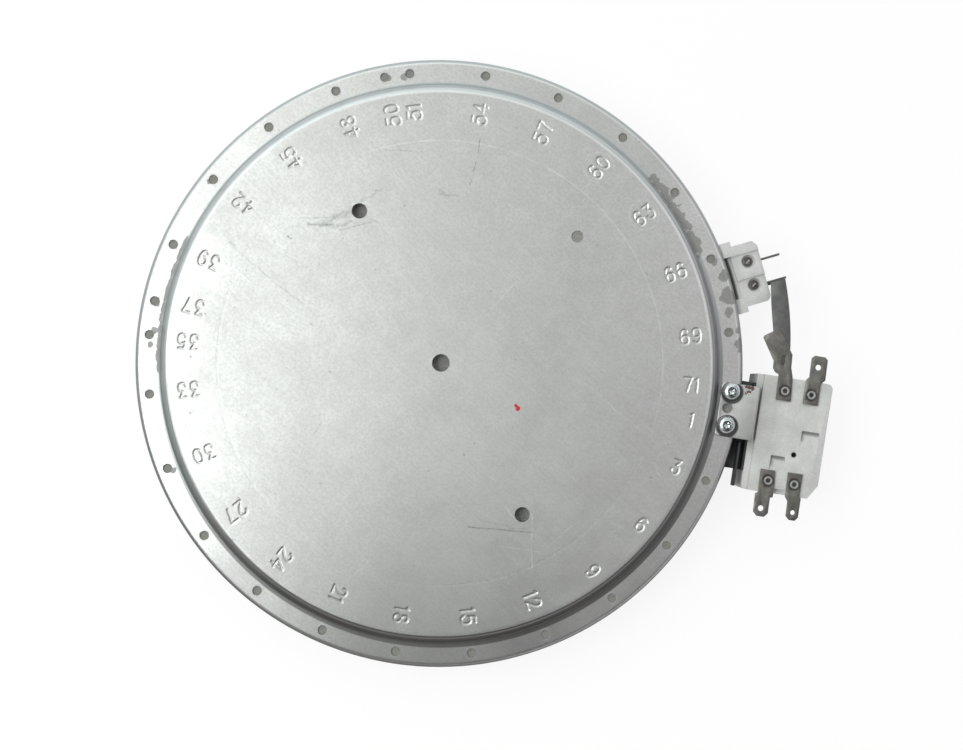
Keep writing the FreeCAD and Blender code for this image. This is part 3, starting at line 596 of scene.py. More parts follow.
def make_camera():
    data = bpy.data.cameras.new("camera")
    data.sensor_width = SENSOR_MM
    data.lens = FOCAL_PX / PHOTO_WIDTH * SENSOR_MM
    data.clip_start = CLIP_START
    camera = bpy.data.objects.new("camera", data)
    camera.matrix_world = Matrix.Translation(camera_place * MM) @ camera_turn.to_4x4()
    bpy.context.scene.collection.objects.link(camera)
    bpy.context.scene.camera = camera


# Finish of the pan

# Marks on the base plate in photograph pixels: start, end, width in millimetres, strength
DARK_MARKS = [((308, 224), (333, 225), 1.0, 0.80), ((318, 224), (346, 216), 1.9, 0.50),
              ((332, 219), (352, 210), 2.2, 0.42), ((300, 218), (332, 217), 0.4, 0.45),
              ((336, 227), (350, 222), 1.2, 0.45), ((356, 204), (384, 188), 0.9, 0.28),
              ((366, 216), (380, 224), 0.6, 0.4), ((340, 230), (372, 222), 0.4, 0.5),
              ((480, 138), (478, 152), 0.35, 0.9), ((476, 162), (473, 172), 0.35, 0.9),
              ((472, 180), (470, 185), 0.4, 0.8), ((440, 190), (448, 196), 0.9, 0.35),
              ((438, 194), (460, 196), 0.5, 0.5), ((468, 527), (533, 533), 0.35, 0.8),
              ((496, 530), (526, 528), 0.3, 0.5), ((480, 520), (510, 527), 0.25, 0.4),
              ((532, 536), (533, 556), 0.3, 0.4), ((230, 243), (240, 252), 1.0, 0.35),
              ((244, 256), (276, 284), 0.5, 0.3), ((276, 284), (302, 303), 0.6, 0.3),
              ((385, 150), (412, 151), 0.4, 0.4), ((315, 433), (321, 424), 0.5, 0.5),
              ((288, 236), (291, 238), 0.7, 0.8), ((394, 142), (400, 150), 0.6, 0.3)]
PALE_MARKS = [((532, 512), (532, 570), 0.35, 0.7), ((278, 300), (298, 314), 0.3, 0.3),
              ((500, 546), (540, 552), 0.25, 0.5), ((210, 335), (226, 362), 0.3, 0.4),
              ((352, 204), (366, 203), 0.5, 0.7), ((505, 506), (515, 520), 0.5, 0.5),
              ((378, 140), (392, 150), 0.3, 0.6), ((596, 420), (606, 470), 0.2, 0.4)]
RED_DOT = [((516.6, 405.5), (517.6, 409.5), 1.3, 1.0)]

# Oxide patches: photograph pixel, radius in millimetres, cut
STAINS = [((742, 345), 6.0, 0.58), ((730, 480), 8.0, 0.62), ((404, 77), 2.4, 0.42),
          ((389, 78), 2.0, 0.47), ((157, 302), 3.2, 0.50), ((209, 181), 2.2, 0.47),
          ((154, 330), 2.6, 0.50), ((150, 345), 2.2, 0.48), ((173, 470), 2.4, 0.55),
          ((482, 76), 2.2, 0.54), ((728, 296), 5.6, 0.46), ((724, 276), 4.0, 0.50),
          ((729, 312), 3.6, 0.50), ((737, 330), 3.0, 0.56), ((714, 262), 3.0, 0.55)]

# Sides of the disc, as directions from the axis
LOWER_RIGHT = (0.259, -0.966, 0.0)
UPPER_RIGHT = (0.55, 0.83, 0.0)
UPPER_LEFT = (-0.87, 0.5, 0.0)
STAINED_RIGHT = (0.755, 0.656, 0.0)
STAINED_LEFT = (-0.998, 0.06, 0.0)

# Shading of the step and the edge lies a little towards the lower right
STEP_SHIFT = (0.38, -0.38, 0.0)
EDGE_SHIFT = (0.25, -0.25, 0.0)
# Painted shade that darkens the sheet towards the bottom: middle and reach in millimetres
LOW_SHADE_CENTRE = (0.0, -150.0, 0.0)
LOW_SHADE_REACH = 140.0
# Numbers with a faint punched ring round them, drawn as a painted highlight
RINGED_NUMBERS = (3, 60, 63)
RINGED_RADIUS = 94.6
PUNCHED_RING_RADIUS = 5.7

# Colours of the sheet and of what lies on it
SHEET_PALE, SHEET_CLOUD, SHEET_PATCH = (0.70, 0.69, 0.70), (0.61, 0.60, 0.605), (0.55, 0.54, 0.545)
SHEET_FINE, SHEET_GRAIN, SHEET_SCUFF = (0.475, 0.468, 0.472), (0.78, 0.79, 0.78), (0.85, 0.86, 0.85)
# Painted shade of the sheet towards the bottom
SHEET_LOW_SHADE = (0.15, 0.147, 0.148)
# Painted light and shade of the step and the edge, a painted shade line and painted highlights
STEP_LIT, STEP_DARK = (0.66, 0.69, 0.71), (0.18, 0.175, 0.175)
EDGE_LIT, EDGE_DARK = (0.48, 0.51, 0.53), (0.10, 0.097, 0.097)
FOOT_SHADE_LINE, CREST_HIGHLIGHT = (0.30, 0.335, 0.345), (0.95, 0.96, 0.97)
OXIDE, DARK_MARK, PALE_MARK = (0.21, 0.205, 0.20), (0.13, 0.14, 0.14), (0.92, 0.93, 0.92)
# Painted highlight of the pressed rings, and a red paint dot
PRESSED_RING_HIGHLIGHT, RED_PAINT = (0.86, 0.87, 0.86), (0.55, 0.02, 0.015)


def rim_layers(build, upper_right):
    """Painted light and shade on the drawn step and the edge, a painted shade line at the bottom of the
    step, and painted highlights on the crests.
    """
    lower_right = build.effect(SECTOR, Direction=LOWER_RIGHT, Edge=-1.15, Full=0.9)
    step = build.effect(RING, Centre=STEP_SHIFT, Radius=STEP_MIDDLE + 0.1, Width=4.0)
    step = build.spread(build.total((step, 1.0), (lower_right, 0.18)), 0.42, 0.58)
    # Painted shade line at the bottom of the step, on the upper left
    foot_shade = build.times(build.effect(RING, Radius=SHELF_INNER + 0.1, Width=0.9),
                       build.effect(SECTOR, Direction=UPPER_LEFT, Edge=-0.3, Full=0.6))
    edge = build.effect(RING, Centre=EDGE_SHIFT, Radius=PAN_RADIUS + 0.6, Width=4.0)
    # Painted highlights on the step's upper bend and near the outer corner
    crest_highlight = build.most(build.effect(RING, Radius=CREST_RADIUS, Width=0.8),
                       build.effect(RING, Radius=PAN_RADIUS - 1.6, Width=0.6))
    return [(step, 1.0, build.blend(lower_right, STEP_LIT, STEP_DARK)),
            (foot_shade, 0.6, FOOT_SHADE_LINE),
            (build.spread(edge, 0.42, 0.80), 1.0, build.blend(lower_right, EDGE_LIT, EDGE_DARK)),
            (build.times(crest_highlight, upper_right), 0.6, CREST_HIGHLIGHT)]


def oxide_mask(build, bitten):
    """Grey oxide along the shelf on two sides, and in single patches."""
    right = build.times(build.effect(RING, Radius=SHELF_INNER + 1.0, Width=3.8),
                        build.effect(SECTOR, Direction=STAINED_RIGHT, Edge=0.98, Full=0.991))
    left = build.times(build.effect(RING, Radius=SHELF_INNER + 0.8, Width=1.3),
                       build.effect(SECTOR, Direction=STAINED_LEFT, Edge=0.955, Full=0.98))
    band = build.total((build.most(left, right), 0.42), (bitten, 1.0))
    patches = [build.effect(BLOOM, Centre=seen(*place, SHELF_TOP), Radius=radius, Noise=bitten, Cut=cut)
               for place, radius, cut in STAINS]
    return build.most(build.spread(band, 0.70, 0.78), *patches)


def rubbed_mask(build, upper_right, bitten):
    """Painted highlight on the faint pressed circle of the base plate, stronger to the upper right, and on
    the punched rings round three of its numbers.
    """
    circle = build.times(build.effect(RING, Radius=FAINT_RING_RADIUS, Width=0.5),
                         build.spread(upper_right, 0, 1, 0.15, 0.9))
    rings = [build.effect(RING, Centre=(*polar(RINGED_RADIUS, -NUMBERS[number]), 0.0),
                          Radius=PUNCHED_RING_RADIUS, Width=0.3) for number in RINGED_NUMBERS]
    return build.times(build.most(circle, *rings), build.spread(bitten, 0.35, 0.6, 0.1, 1.0))


def pan_finish():
    """Aluminised sheet: clouded, pitted and grained, with oxide and marks; painted shade towards the
    bottom and on the step and the edge, painted highlights on the crests and on the pressed rings.
    """
    material, build, inputs = new_material("aluminised_sheet")
    bitten = build.grit(2.6, 5.0)
    shake = build.grit(2.8, 3.0, "Color")
    broken = build.spread(build.grit(1.1, 4.0), 0.62, 0.38)
    cloud = build.effect(MOTTLE, Size=30.0, Detail=5.0, Low=0.3, High=0.7)
    patch = build.effect(MOTTLE, Size=7.0, Detail=5.0, Low=0.3, High=0.7)
    fine = build.effect(MOTTLE, Size=0.9, Detail=4.0, Low=0.3, High=0.7)
    grain = build.effect(GRAIN, Stretch=(0.06, 1.6, 0.06), Turn=0.6)
    scuff = build.most(build.effect(SCUFF, Turn=0.5, Cut=0.70, Width=2.4),
                       build.effect(SCUFF, Turn=2.3, Cut=0.71, Width=2.2))
    upper_right = build.effect(SECTOR, Direction=UPPER_RIGHT, Edge=0.2, Full=0.8)
    # Painted shade: the sheet darker towards the bottom
    low_side_shade = build.effect(RING, Centre=LOW_SHADE_CENTRE, Radius=0.0, Width=LOW_SHADE_REACH)
    stain = oxide_mask(build, bitten)

    def marks(places, ragged):
        return build.most(*[build.times(build.effect(STROKE, Start=seen(*start, PAN_TOP),
                                                     End=seen(*end, PAN_TOP), Width=width,
                                                     Ragged=ragged, Shake=shake, Broken=broken), strength)
                            for start, end, width, strength in places])

    dark = marks(DARK_MARKS, 0.5)
    dot = build.spread(marks(RED_DOT, 0.0), 0.25, 0.35)
    colour = build.layered(build.blend(cloud, SHEET_PALE, SHEET_CLOUD), [
        (patch, 0.45, SHEET_PATCH),
        (fine, 0.60, SHEET_FINE),
        (grain, 0.14, SHEET_GRAIN),
        (scuff, 0.30, SHEET_SCUFF),
        (low_side_shade, 0.58, SHEET_LOW_SHADE),
        *rim_layers(build, upper_right),
        (stain, 0.72, OXIDE),
        (dark, 0.9, DARK_MARK),
        (rubbed_mask(build, upper_right, bitten), 0.5, PRESSED_RING_HIGHLIGHT),
        (marks(PALE_MARKS, 0.5), 0.8, PALE_MARK),
        (dot, 1.0, RED_PAINT)])
    build.feed(inputs["Base Color"], colour)
    plain = build.most(build.times(stain, 0.5), dot)
    build.feed(inputs["Metallic"], build.maths("SUBTRACT", 0.92, plain, clamp=True))
    rough = build.spread(cloud, 0, 1, 0.36, 0.43)
    build.feed(inputs["Roughness"], build.total((rough, 1.0), (fine, 0.06), (stain, 0.15)))
    wave = build.effect(MOTTLE, Size=60.0, Detail=1.0, Low=0.0, High=1.0, Seed=(31.0, 7.0, 0.0))
    relief(build, inputs, build.total((wave, 12.0), (patch, 0.5), (fine, 0.3), (grain, 0.12),
                                      (scuff, -0.5), (dark, -1.0)), 0.02)
    return material


# Other finishes

STEATITE, STEATITE_CLOUD, STEATITE_GRAIN = (0.71, 0.703, 0.697), (0.61, 0.603, 0.597), (0.50, 0.495, 0.49)
STEATITE_FLECK, SIDE_SHADE = (0.38, 0.36, 0.33), (0.26, 0.255, 0.25)
# Painted shade round the screw recesses, and painted shadow in gaps, pockets and beside the bracket
HOLLOW_SHADE, PAINTED_SHADOW = (0.2, 0.195, 0.19), (0.04, 0.036, 0.032)
# Painted shade of the insulation under the sheet, seen through its holes
COVERED_FIBRE_SHADE = (0.22, 0.22, 0.215)
# Rust of the tabs; painted highlight and painted shade at the rivet collars
TAB_RUST, COLLAR_HIGHLIGHT, COLLAR_SHADE = (0.16, 0.085, 0.06), (0.42, 0.42, 0.42), (0.06, 0.057, 0.055)
# Painted shade in the screw recesses and down the adjusting screw's hole
SCREW_SHADE, BORE_SHADE = (0.03, 0.032, 0.036), (0.015, 0.014, 0.014)
BRACKET_SHADE, BRACKET_RUST = (0.045, 0.04, 0.045), (0.085, 0.018, 0.012)

# Rust at the bracket's corner: back and down from the corner, radius, cut
RUST_SPOTS = [(3.3, 0.9, 1.5, 0.46), (4.6, 0.7, 1.3, 0.46), (5.6, 0.6, 1.1, 0.48),
              (4.4, 2.4, 2.4, 0.66), (5.6, 3.2, 1.4, 0.62)]


def shaded_line(build, start, end, width, strength):
    return build.times(build.effect(STROKE, Start=start, End=end, Width=width, Ragged=0.0), strength)


def soot_mask(build, facing):
    """Painted shade and painted shadow on the head and the terminal block: in the gap of the neck, on the
    wall by the plate, the bracket's shadow, shadows in the pockets, and round the adjuster's bore.
    """
    spot = build.parts(build.place())
    # Painted shadow on the head's wall facing the pan, between the plate and the bracket
    rows = [build.spread(spot["Y"], (low.y - 0.6) * MM, (low.y + 0.4) * MM, *ends)
            for low, ends in ((plate_low, (0.0, 1.0)), (bracket_low, (1.0, 0.0)))]
    wall = build.times(build.spread(facing["X"], -0.9, -0.7, 0.88, 0.0),
                       build.spread(spot["X"], (head_low.x + 0.8) * MM, (head_low.x + 1.4) * MM, 1.0, 0.0))
    # Painted shade in the gap between the pan's edge and the block's neck
    neck = build.times(build.spread(spot["Z"], NECK_TOP * MM, (NECK_TOP + 0.2) * MM, 1.0, 0.0),
                       build.effect(RING, Radius=PAN_RADIUS, Width=2.8))
    masks = [build.spread(neck, 0.15, 0.7, 0.0, 0.92), build.times(build.times(*rows), wall)]
    # Painted shadow of the bracket on the head
    near = (bracket_high.x + 0.8, bracket_high.y, CERAMIC_TOP - 1)
    far = (near[0], -bracket_high.y, near[2])
    masks += [shaded_line(build, near, far, 3.2, 0.45), shaded_line(build, near, far, 11.0, 0.26)]
    deep = CERAMIC_TOP - 1.1
    # Painted shadows along the high walls of the pockets
    for x0, x1, y0, y1 in HEAD_POCKETS:
        corner = (x0 + 0.5, y1 - 0.6, deep)
        masks.append(shaded_line(build, corner, (x1 - 0.4, y1 - 0.6, deep), 1.5, 0.62))
        masks.append(shaded_line(build, corner, (x0 + 0.5, (y0 + y1) / 2, deep + 0.6), 1.3, 0.4))
    bore = build.effect(RING, Centre=(*ADJUSTER_SPOT, 0.0), Radius=0.0, Width=2.2)
    return build.most(*masks, build.spread(bore, 0.4, 0.7, 0.0, 0.95))


def ceramic_finish():
    """Matt pressed ceramic with faint flecks and a sandy face, painted shade on its steep sides and round
    the screw recesses, and painted shadow in gaps and pockets.
    """
    material, build, inputs = new_material("steatite")
    cloud = build.effect(MOTTLE, Size=6.0, Detail=4.0, Low=0.3, High=0.75)
    sand = build.effect(MOTTLE, Size=0.35, Detail=3.0, Low=0.25, High=0.75)
    speck = build.effect(SPECKLE, Size=1.6, Cut=0.16)
    grain = build.effect(MOTTLE, Size=0.7, Detail=4.0, Low=0.35, High=0.65)
    facing = build.parts(build.add("ShaderNodeNewGeometry").outputs["Normal"])
    # Painted shade on steep sides that do not face the pan
    upright_shade = build.times(build.spread(facing["Z"], 0.2, 0.95, 0.55, 0.0),
                          build.spread(facing["X"], -0.6, -0.1))
    # Painted shade round each terminal screw's recess
    hollows = [build.spread(build.effect(RING, Centre=(x, y, 0.0), Radius=0.0, Width=4.6), 0.38, 0.5)
               for x, y, _ in TERMINAL_SCREWS]
    build.feed(inputs["Base Color"], build.layered(build.blend(cloud, STEATITE, STEATITE_CLOUD), [
        (grain, 0.30, STEATITE_GRAIN),
        (speck, 0.4, STEATITE_FLECK),
        (upright_shade, 1.0, SIDE_SHADE),
        (build.most(*hollows), 0.5, HOLLOW_SHADE),
        (soot_mask(build, facing), 1.0, PAINTED_SHADOW)]))
    build.feed(inputs["Roughness"], build.spread(sand, 0, 1, 0.62, 0.82))
    relief(build, inputs, build.maths("SUBTRACT", sand, speck), 0.05, 0.6)
    return material


def fibre_finish(name, colour, shade, fleck, size, back):
    """Pressed granular insulation, greyed by painted shade on the back that the sheet covers, above back.
    """
    material, build, inputs = new_material(name)
    cloud = build.effect(MOTTLE, Size=9.0, Detail=5.0, Low=0.3, High=0.7)
    grit = build.effect(SPECKLE, Size=size, Cut=0.55)
    fine = build.effect(MOTTLE, Size=size * 0.3, Detail=4.0, Low=0.3, High=0.7)
    # Painted shade where the sheet lies over the insulation
    covered_shade = build.spread(build.parts(build.place())["Z"], (back - 1.5) * MM, (back - 0.5) * MM)
    build.feed(inputs["Base Color"], build.layered(build.blend(cloud, colour, shade), [
        (grit, 0.55, fleck), (covered_shade, 0.8, COVERED_FIBRE_SHADE)]))
    build.feed(inputs["Roughness"], build.spread(fine, 0, 1, 0.8, 0.95))
    relief(build, inputs, build.total((grit, 1.0), (fine, 0.5)), 0.18, 0.8)
    return material


def metal_finish(name, colour, worn, rough=0.35, metallic=0.9, turn=0.0, wear=0.5, tint_size=5.0,
                 rust=0.0):
    """Rolled strip: grain lines, darker patches of oxide, thin bright scratches; with rust, rust specks
    too, and a painted highlight on each rivet's collar with painted shade round it.
    """
    material, build, inputs = new_material(name)
    grain = build.effect(GRAIN, Stretch=(0.12, 5.0, 0.12), Turn=turn)
    cloud = build.effect(MOTTLE, Size=tint_size, Detail=5.0, Low=0.35, High=0.65)
    scuff = build.effect(SCUFF, Turn=turn + 1.1, Cut=0.66, Width=6.0)
    brighter = tuple(min(1, 1.6 * c) for c in colour)
    layers = [(cloud, wear, worn), (grain, 0.2, worn), (scuff, 0.4, brighter)]
    if rust:
        layers.append((build.effect(MOTTLE, Size=1.1, Detail=4.0, Low=0.58, High=0.70), rust, TAB_RUST))
        # Painted highlight on each rivet's rolled collar, painted shade on the tab round it
        for x, y in RIVETS.values():
            collar = build.effect(RING, Centre=(x, y, 0.0), Radius=1.2, Width=0.75)
            collar_shade_ring = build.effect(RING, Centre=(x, y, 0.0), Radius=2.05, Width=0.9)
            layers.append((build.spread(collar, 0.2, 0.7), 1.0, COLLAR_HIGHLIGHT))
            layers.append((build.spread(collar_shade_ring, 0.3, 0.8), 0.65, COLLAR_SHADE))
    build.feed(inputs["Base Color"], build.layered(colour, layers))
    build.feed(inputs["Metallic"], build.spread(cloud, 0, 1, metallic, metallic * 0.75))
    rougher = build.spread(cloud, 0, 1, rough, min(1, rough + 0.18))
    build.feed(inputs["Roughness"], build.total((rougher, 1.0), (grain, 0.08)))
    relief(build, inputs, build.total((grain, 0.5), (scuff, -1.0)), 0.012)
    return material


def screw_finish():
    """Zinc-plated screws, with painted shade in the recess and under the rim of the head."""
    material = metal_finish("bright_screw", (0.74, 0.77, 0.79), (0.46, 0.49, 0.53),
                            rough=0.10, metallic=1.0, wear=0.6, tint_size=1.6)
    build, inputs, base = reopened(material)
    recess_and_rim_shade = []
    # Painted shade on the recess walls and round the rim of each head
    for x, y in SCREW_SPOTS:
        recess_and_rim_shade.append(build.effect(RING, Centre=(x, y, 0.0), Radius=1.45, Width=0.45))
        recess_and_rim_shade.append(build.effect(RING, Centre=(x - 0.4, y + 0.4, 0.0), Radius=4.0, Width=1.3))
    recess_and_rim_shade = build.spread(build.most(*recess_and_rim_shade), 0.1, 0.7, 0.0, 0.8)
    build.feed(inputs["Base Color"], build.blend(recess_and_rim_shade, base, SCREW_SHADE))
    return material


def rod_finish():
    """Drawn alloy of the rod and the adjusting screw, darkened by painted shade down the screw's hole."""
    material = metal_finish("rod_alloy", (0.46, 0.45, 0.43), (0.33, 0.32, 0.31))
    build, inputs, base = reopened(material)
    # Painted shade down the adjusting screw's hole
    bore = build.effect(RING, Centre=(*ADJUSTER_SPOT, 0.0), Radius=0.0, Width=3.0)
    build.feed(inputs["Base Color"], build.blend(build.spread(bore, 0.3, 0.7), base, BORE_SHADE))
    return material


def bracket_finish():
    """Plated bracket with a rust-red corner, shaded under its screws."""
    material = metal_finish("bracket_steel", (0.56, 0.555, 0.555), (0.46, 0.455, 0.455),
                            rough=0.36, turn=1.57, wear=0.6)
    build, inputs, base = reopened(material)
    crumbs = build.grit(0.7, 6.0)
    rust = build.most(*[build.effect(BLOOM, Centre=tuple(bracket_high - Vector((back, down, 0))),
                                     Radius=radius, Noise=crumbs, Cut=cut)
                        for back, down, radius, cut in RUST_SPOTS])
    shade = build.most(*[build.effect(RING, Centre=(x + 0.4, y - 0.35, 0.0), Radius=3.4, Width=1.5)
                         for x, y in SCREW_SPOTS])
    build.feed(inputs["Base Color"], build.layered(base, [
        (build.spread(shade, 0.1, 0.6), 0.88, BRACKET_SHADE), (rust, 0.94, BRACKET_RUST)]))
    metal = inputs["Metallic"].links[0].from_socket
    build.feed(inputs["Metallic"], build.maths("SUBTRACT", metal, rust, clamp=True))
    return material


def quartz_finish():
    """Clear drawn tube with faint streaks along it."""
    material, build, inputs = new_material("quartz")
    streak = build.effect(GRAIN, Stretch=(0.05, 1.4, 1.4), Turn=0.0)
    build.feed(inputs["Base Color"], build.blend(streak, (0.97, 0.98, 0.99), (0.90, 0.92, 0.94)))
    build.feed(inputs["Roughness"], build.spread(streak, 0, 1, 0.03, 0.12))
    inputs["IOR"].default_value = 1.46
    inputs["Transmission Weight"].default_value = 0.9
    relief(build, inputs, streak, 0.01)
    return material


finishes = {
    "aluminised_sheet": pan_finish(),
    "vermiculite": fibre_finish("vermiculite", (0.47, 0.44, 0.38), (0.38, 0.35, 0.30),
                                (0.58, 0.52, 0.40), 1.7, SHELF_TOP - SHEET),
    "microporous": fibre_finish("microporous", (0.78, 0.78, 0.76), (0.70, 0.70, 0.68),
                                (0.60, 0.60, 0.58), 0.8, SHELF_TOP),
    "resistance_strip": metal_finish("resistance_strip", (0.26, 0.24, 0.22), (0.15, 0.14, 0.14),
                                     rough=0.5),
    "steatite": ceramic_finish(),
    "plated_tab": metal_finish("plated_tab", (0.23, 0.218, 0.208), (0.16, 0.152, 0.145),
                               rough=0.42, turn=1.2, wear=0.8, tint_size=2.5, rust=0.6),
    "oxidised_strip": metal_finish("oxidised_strip", (0.21, 0.207, 0.20), (0.145, 0.145, 0.145),
                                   rough=0.45, turn=1.9, wear=0.8),
    "dark_steel": metal_finish("dark_steel", (0.075, 0.075, 0.08), (0.035, 0.035, 0.04),
                               rough=0.5, metallic=0.6),
    "bracket_steel": bracket_finish(),
    "bright_screw": screw_finish(),
    "quartz": quartz_finish(),
    "rod_alloy": rod_finish(),
    "leaf_alloy": metal_finish("leaf_alloy", (0.60, 0.47, 0.27), (0.45, 0.34, 0.2), rough=0.3),
    "contact_silver": metal_finish("contact_silver", (0.80, 0.79, 0.76), (0.66, 0.65, 0.62),
                                   rough=0.22),
}
slots = {part["node"]: part["material_slot"] for part in frame["record"]["subparts"]}
replaced = set()

# Pieces


def place_piece(piece, slot, node):
    """Gives a piece its finish, its body and the node that it stands for."""
    piece.data.materials.clear()
    piece.data.materials.append(finishes[slot])
    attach(piece, "root")
    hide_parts(node)
    replaced.add(node)


def softened(node, name, bevel):
    """Copy of a node's solid with its edges broken, in place of the node."""
    mesh = frame["nodes"][node].data.copy()
    mesh.name = name
    form = bmesh.new()
    form.from_mesh(mesh)
    bmesh.ops.remove_doubles(form, verts=form.verts, dist=WELD * MM)
    bmesh.ops.dissolve_limit(form, angle_limit=math.radians(FLAT_DEG), verts=form.verts, edges=form.edges)
    form.to_mesh(mesh)
    form.free()
    if "custom_normal" in mesh.attributes:
        mesh.attributes.remove(mesh.attributes["custom_normal"])
    piece = bpy.data.objects.new(name, mesh)
    bpy.context.scene.collection.objects.link(piece)
    modifier = piece.modifiers.new("broken edges", "BEVEL")
    modifier.width = bevel * MM
    modifier.segments = 2
    modifier.limit_method = "ANGLE"
    modifier.angle_limit = math.radians(EDGE_DEG)
    modifier.use_clamp_overlap = True
    modifier.miter_outer = "MITER_ARC"
    apply_modifiers(piece)
    smooth(piece, 40)
    place_piece(piece, slots[node], node)


def pan_columns():
    """Angles of the pan's columns: close together at the numbers, wide apart elsewhere."""
    angles = []
    centres = sorted((-degrees) % 360 for degrees in NUMBERS.values())
    count = round(2 * NUMBER_REACH_DEG / FINE_COLUMN_DEG)
    for centre, following in zip(centres, centres[1:] + [centres[0] + 360]):
        angles += [centre - NUMBER_REACH_DEG + 2 * NUMBER_REACH_DEG * k / count for k in range(count + 1)]
        start = centre + NUMBER_REACH_DEG
        gap = following - NUMBER_REACH_DEG - start
        steps = max(1, math.ceil(gap / COARSE_COLUMN_DEG))
        angles += [start + gap * k / steps for k in range(1, steps)]
    return np.array(angles)


def pan_rows():
    """Radius and height of the pan's rows, outside then inside, and how many the numbers may sink."""
    slope = math.hypot(STEP_SLOPE, STEP_DEPTH)
    shift = SHEET * (slope - STEP_SLOPE) / STEP_DEPTH
    outside = rounded([(BAND_END, PAN_TOP), (BAND_END + 1, PAN_TOP), (DISC_EDGE, PAN_TOP, CREST_FILLET),
                       (SHELF_INNER, SHELF_TOP, STEP_FILLET),
                       (PAN_RADIUS, SHELF_TOP, CORNER_RADIUS), (PAN_RADIUS, PAN_RIM)])
    flat = [(FAINT_RING_RADIUS + off, PAN_TOP - sunk) for off, sunk in FAINT_RING_FORM]
    inside = rounded([(PAN_RADIUS - SHEET, PAN_RIM),
                      (PAN_RADIUS - SHEET, SHELF_TOP - SHEET, CORNER_RADIUS - SHEET),
                      (SHELF_INNER - shift, SHELF_TOP - SHEET, CREST_FILLET),
                      (DISC_EDGE - shift, PAN_TOP - SHEET, STEP_FILLET),
                      (flat[0][0], PAN_TOP - SHEET)], steps=4)
    flat += [(r, PAN_TOP) for r in np.arange(BAND_START, BAND_END, ROW_PITCH)]
    return flat + outside + inside, len(flat) + 1


def sunk_heights(rows, sinking, columns):
    """Radii and heights of the pan's points, with the numbers pressed into the first rows."""
    radius = np.array([r for r, _ in rows])[:, None]
    height = np.array([z for _, z in rows])[:, None] * np.ones((1, len(columns)))
    for number, degrees in NUMBERS.items():
        off = (columns + degrees + 180) % 360 - 180
        near = np.abs(off) < NUMBER_REACH_DEG + 0.05
        x = radius[:sinking] * np.cos(np.radians(off[near]))[None, :]
        y = radius[:sinking] * np.sin(np.radians(off[near]))[None, :]
        level = np.clip((PEN_HALF - pen_distance(x, y, number_lines(number))) / PEN_SLOPE, 0, 1)
        height[:sinking, near] -= NUMBER_DEPTH * level * level * (3 - 2 * level)
    return radius, height


def make_pan():
    """Drawn sheet pan with sunk numbers, then its holes and the terminal block's window."""
    rows, sinking = pan_rows()
    columns = pan_columns()
    radius, height = sunk_heights(rows, sinking, columns)
    turn = np.radians(columns)[None, :]
    points = np.stack([radius * np.cos(turn), radius * np.sin(turn), height], axis=-1).reshape(-1, 3)
    count = len(columns)
    faces = [tuple(range(count))]
    for row in range(len(rows) - 1):
        a = row * count
        for k in range(count):
            b = (k + 1) % count
            faces.append((a + k, a + count + k, a + count + b, a + b))
    last = (len(rows) - 1) * count
    faces.append(tuple(last + k for k in reversed(range(count))))
    pan = add_mesh("stamped_pan", points.tolist(), faces)
    tools = []

    def hole(spot, top, diameter):
        r = diameter / 2
        tools.append(revolve([(0, top - 2), (r, top - 2), (r, top - HOLE_FLARE), (r + HOLE_FLARE, top),
                              (r + HOLE_FLARE, top + 1), (0, top + 1)], HOLE_SIDES, spot))

    for number in INDEX_HOLES:
        hole(polar(INDEX_RADIUS, -INDEX_PITCH_DEG * number), SHELF_TOP, INDEX_HOLE)
    for spot in SCREW_SPOTS + [polar(INDEX_RADIUS, 180 + off) for off in PAIR_OFFSETS]:
        hole(spot, SHELF_TOP, INDEX_HOLE)
    for r, degrees, diameter in BASE_HOLES:
        hole(polar(r, degrees), PAN_TOP, diameter)
    tools.append(block(PAN_RADIUS - 4, PAN_RADIUS + 4, -WINDOW_HALF, WINDOW_HALF, WINDOW_LOW,
                       WINDOW_HIGH, TERMINAL_ANGLE))
    points, faces = revolve([(0, -4), (ROD_HOLE / 2, -4), (ROD_HOLE / 2, 4), (0, 4)], HOLE_SIDES)
    tools.append(([(PAN_RADIUS + z, y, ROD_HEIGHT - x) for x, y, z in points], faces))
    cut_away(pan, tools)
    smooth(pan, 40)
    place_piece(pan, "aluminised_sheet", "base_pan")


def make_screws():
    """Domed bracket screws with a six-point recess."""
    seat = bracket_high.z
    top = seat + SCREW_DOME[-1][1]
    sides = SCREW_SIDES
    dome = [(SCREW_HEAD_RADIUS - inset, seat + height) for inset, height in SCREW_DOME]
    faces = [((i + 1) % sides, i, 2 * sides) for i in range(sides)]
    faces.append(tuple(range(sides, 2 * sides)))
    faces += [(i, (i + 1) % sides, sides + (i + 1) % sides, sides + i) for i in range(sides)]
    for k, (x, y) in enumerate(SCREW_SPOTS):
        head = add_mesh("bracket_screw_%d" % (k + 1),
                        *revolve([(0, seat)] + dome + [(0, top)], sides, (x, y)))
        lobes = []
        for i in range(sides):
            turn = 360 * i / sides
            r = LOBE_RADIUS + LOBE_DEPTH * math.cos(math.radians(LOBES * turn))
            lobes.append(polar(r, turn + LOBE_TURN_DEG * k))
        recess = [(x + px, y + py, seat + RECESS_FLOOR) for px, py in lobes]
        recess += [(x + RECESS_FLARE * px, y + RECESS_FLARE * py, top + 0.3) for px, py in lobes]
        recess.append((x, y, seat + RECESS_TIP))
        cut_away(head, [(recess, faces)], "EXACT")
        smooth(head, 38)
        place_piece(head, "bright_screw", "bracket_screws")


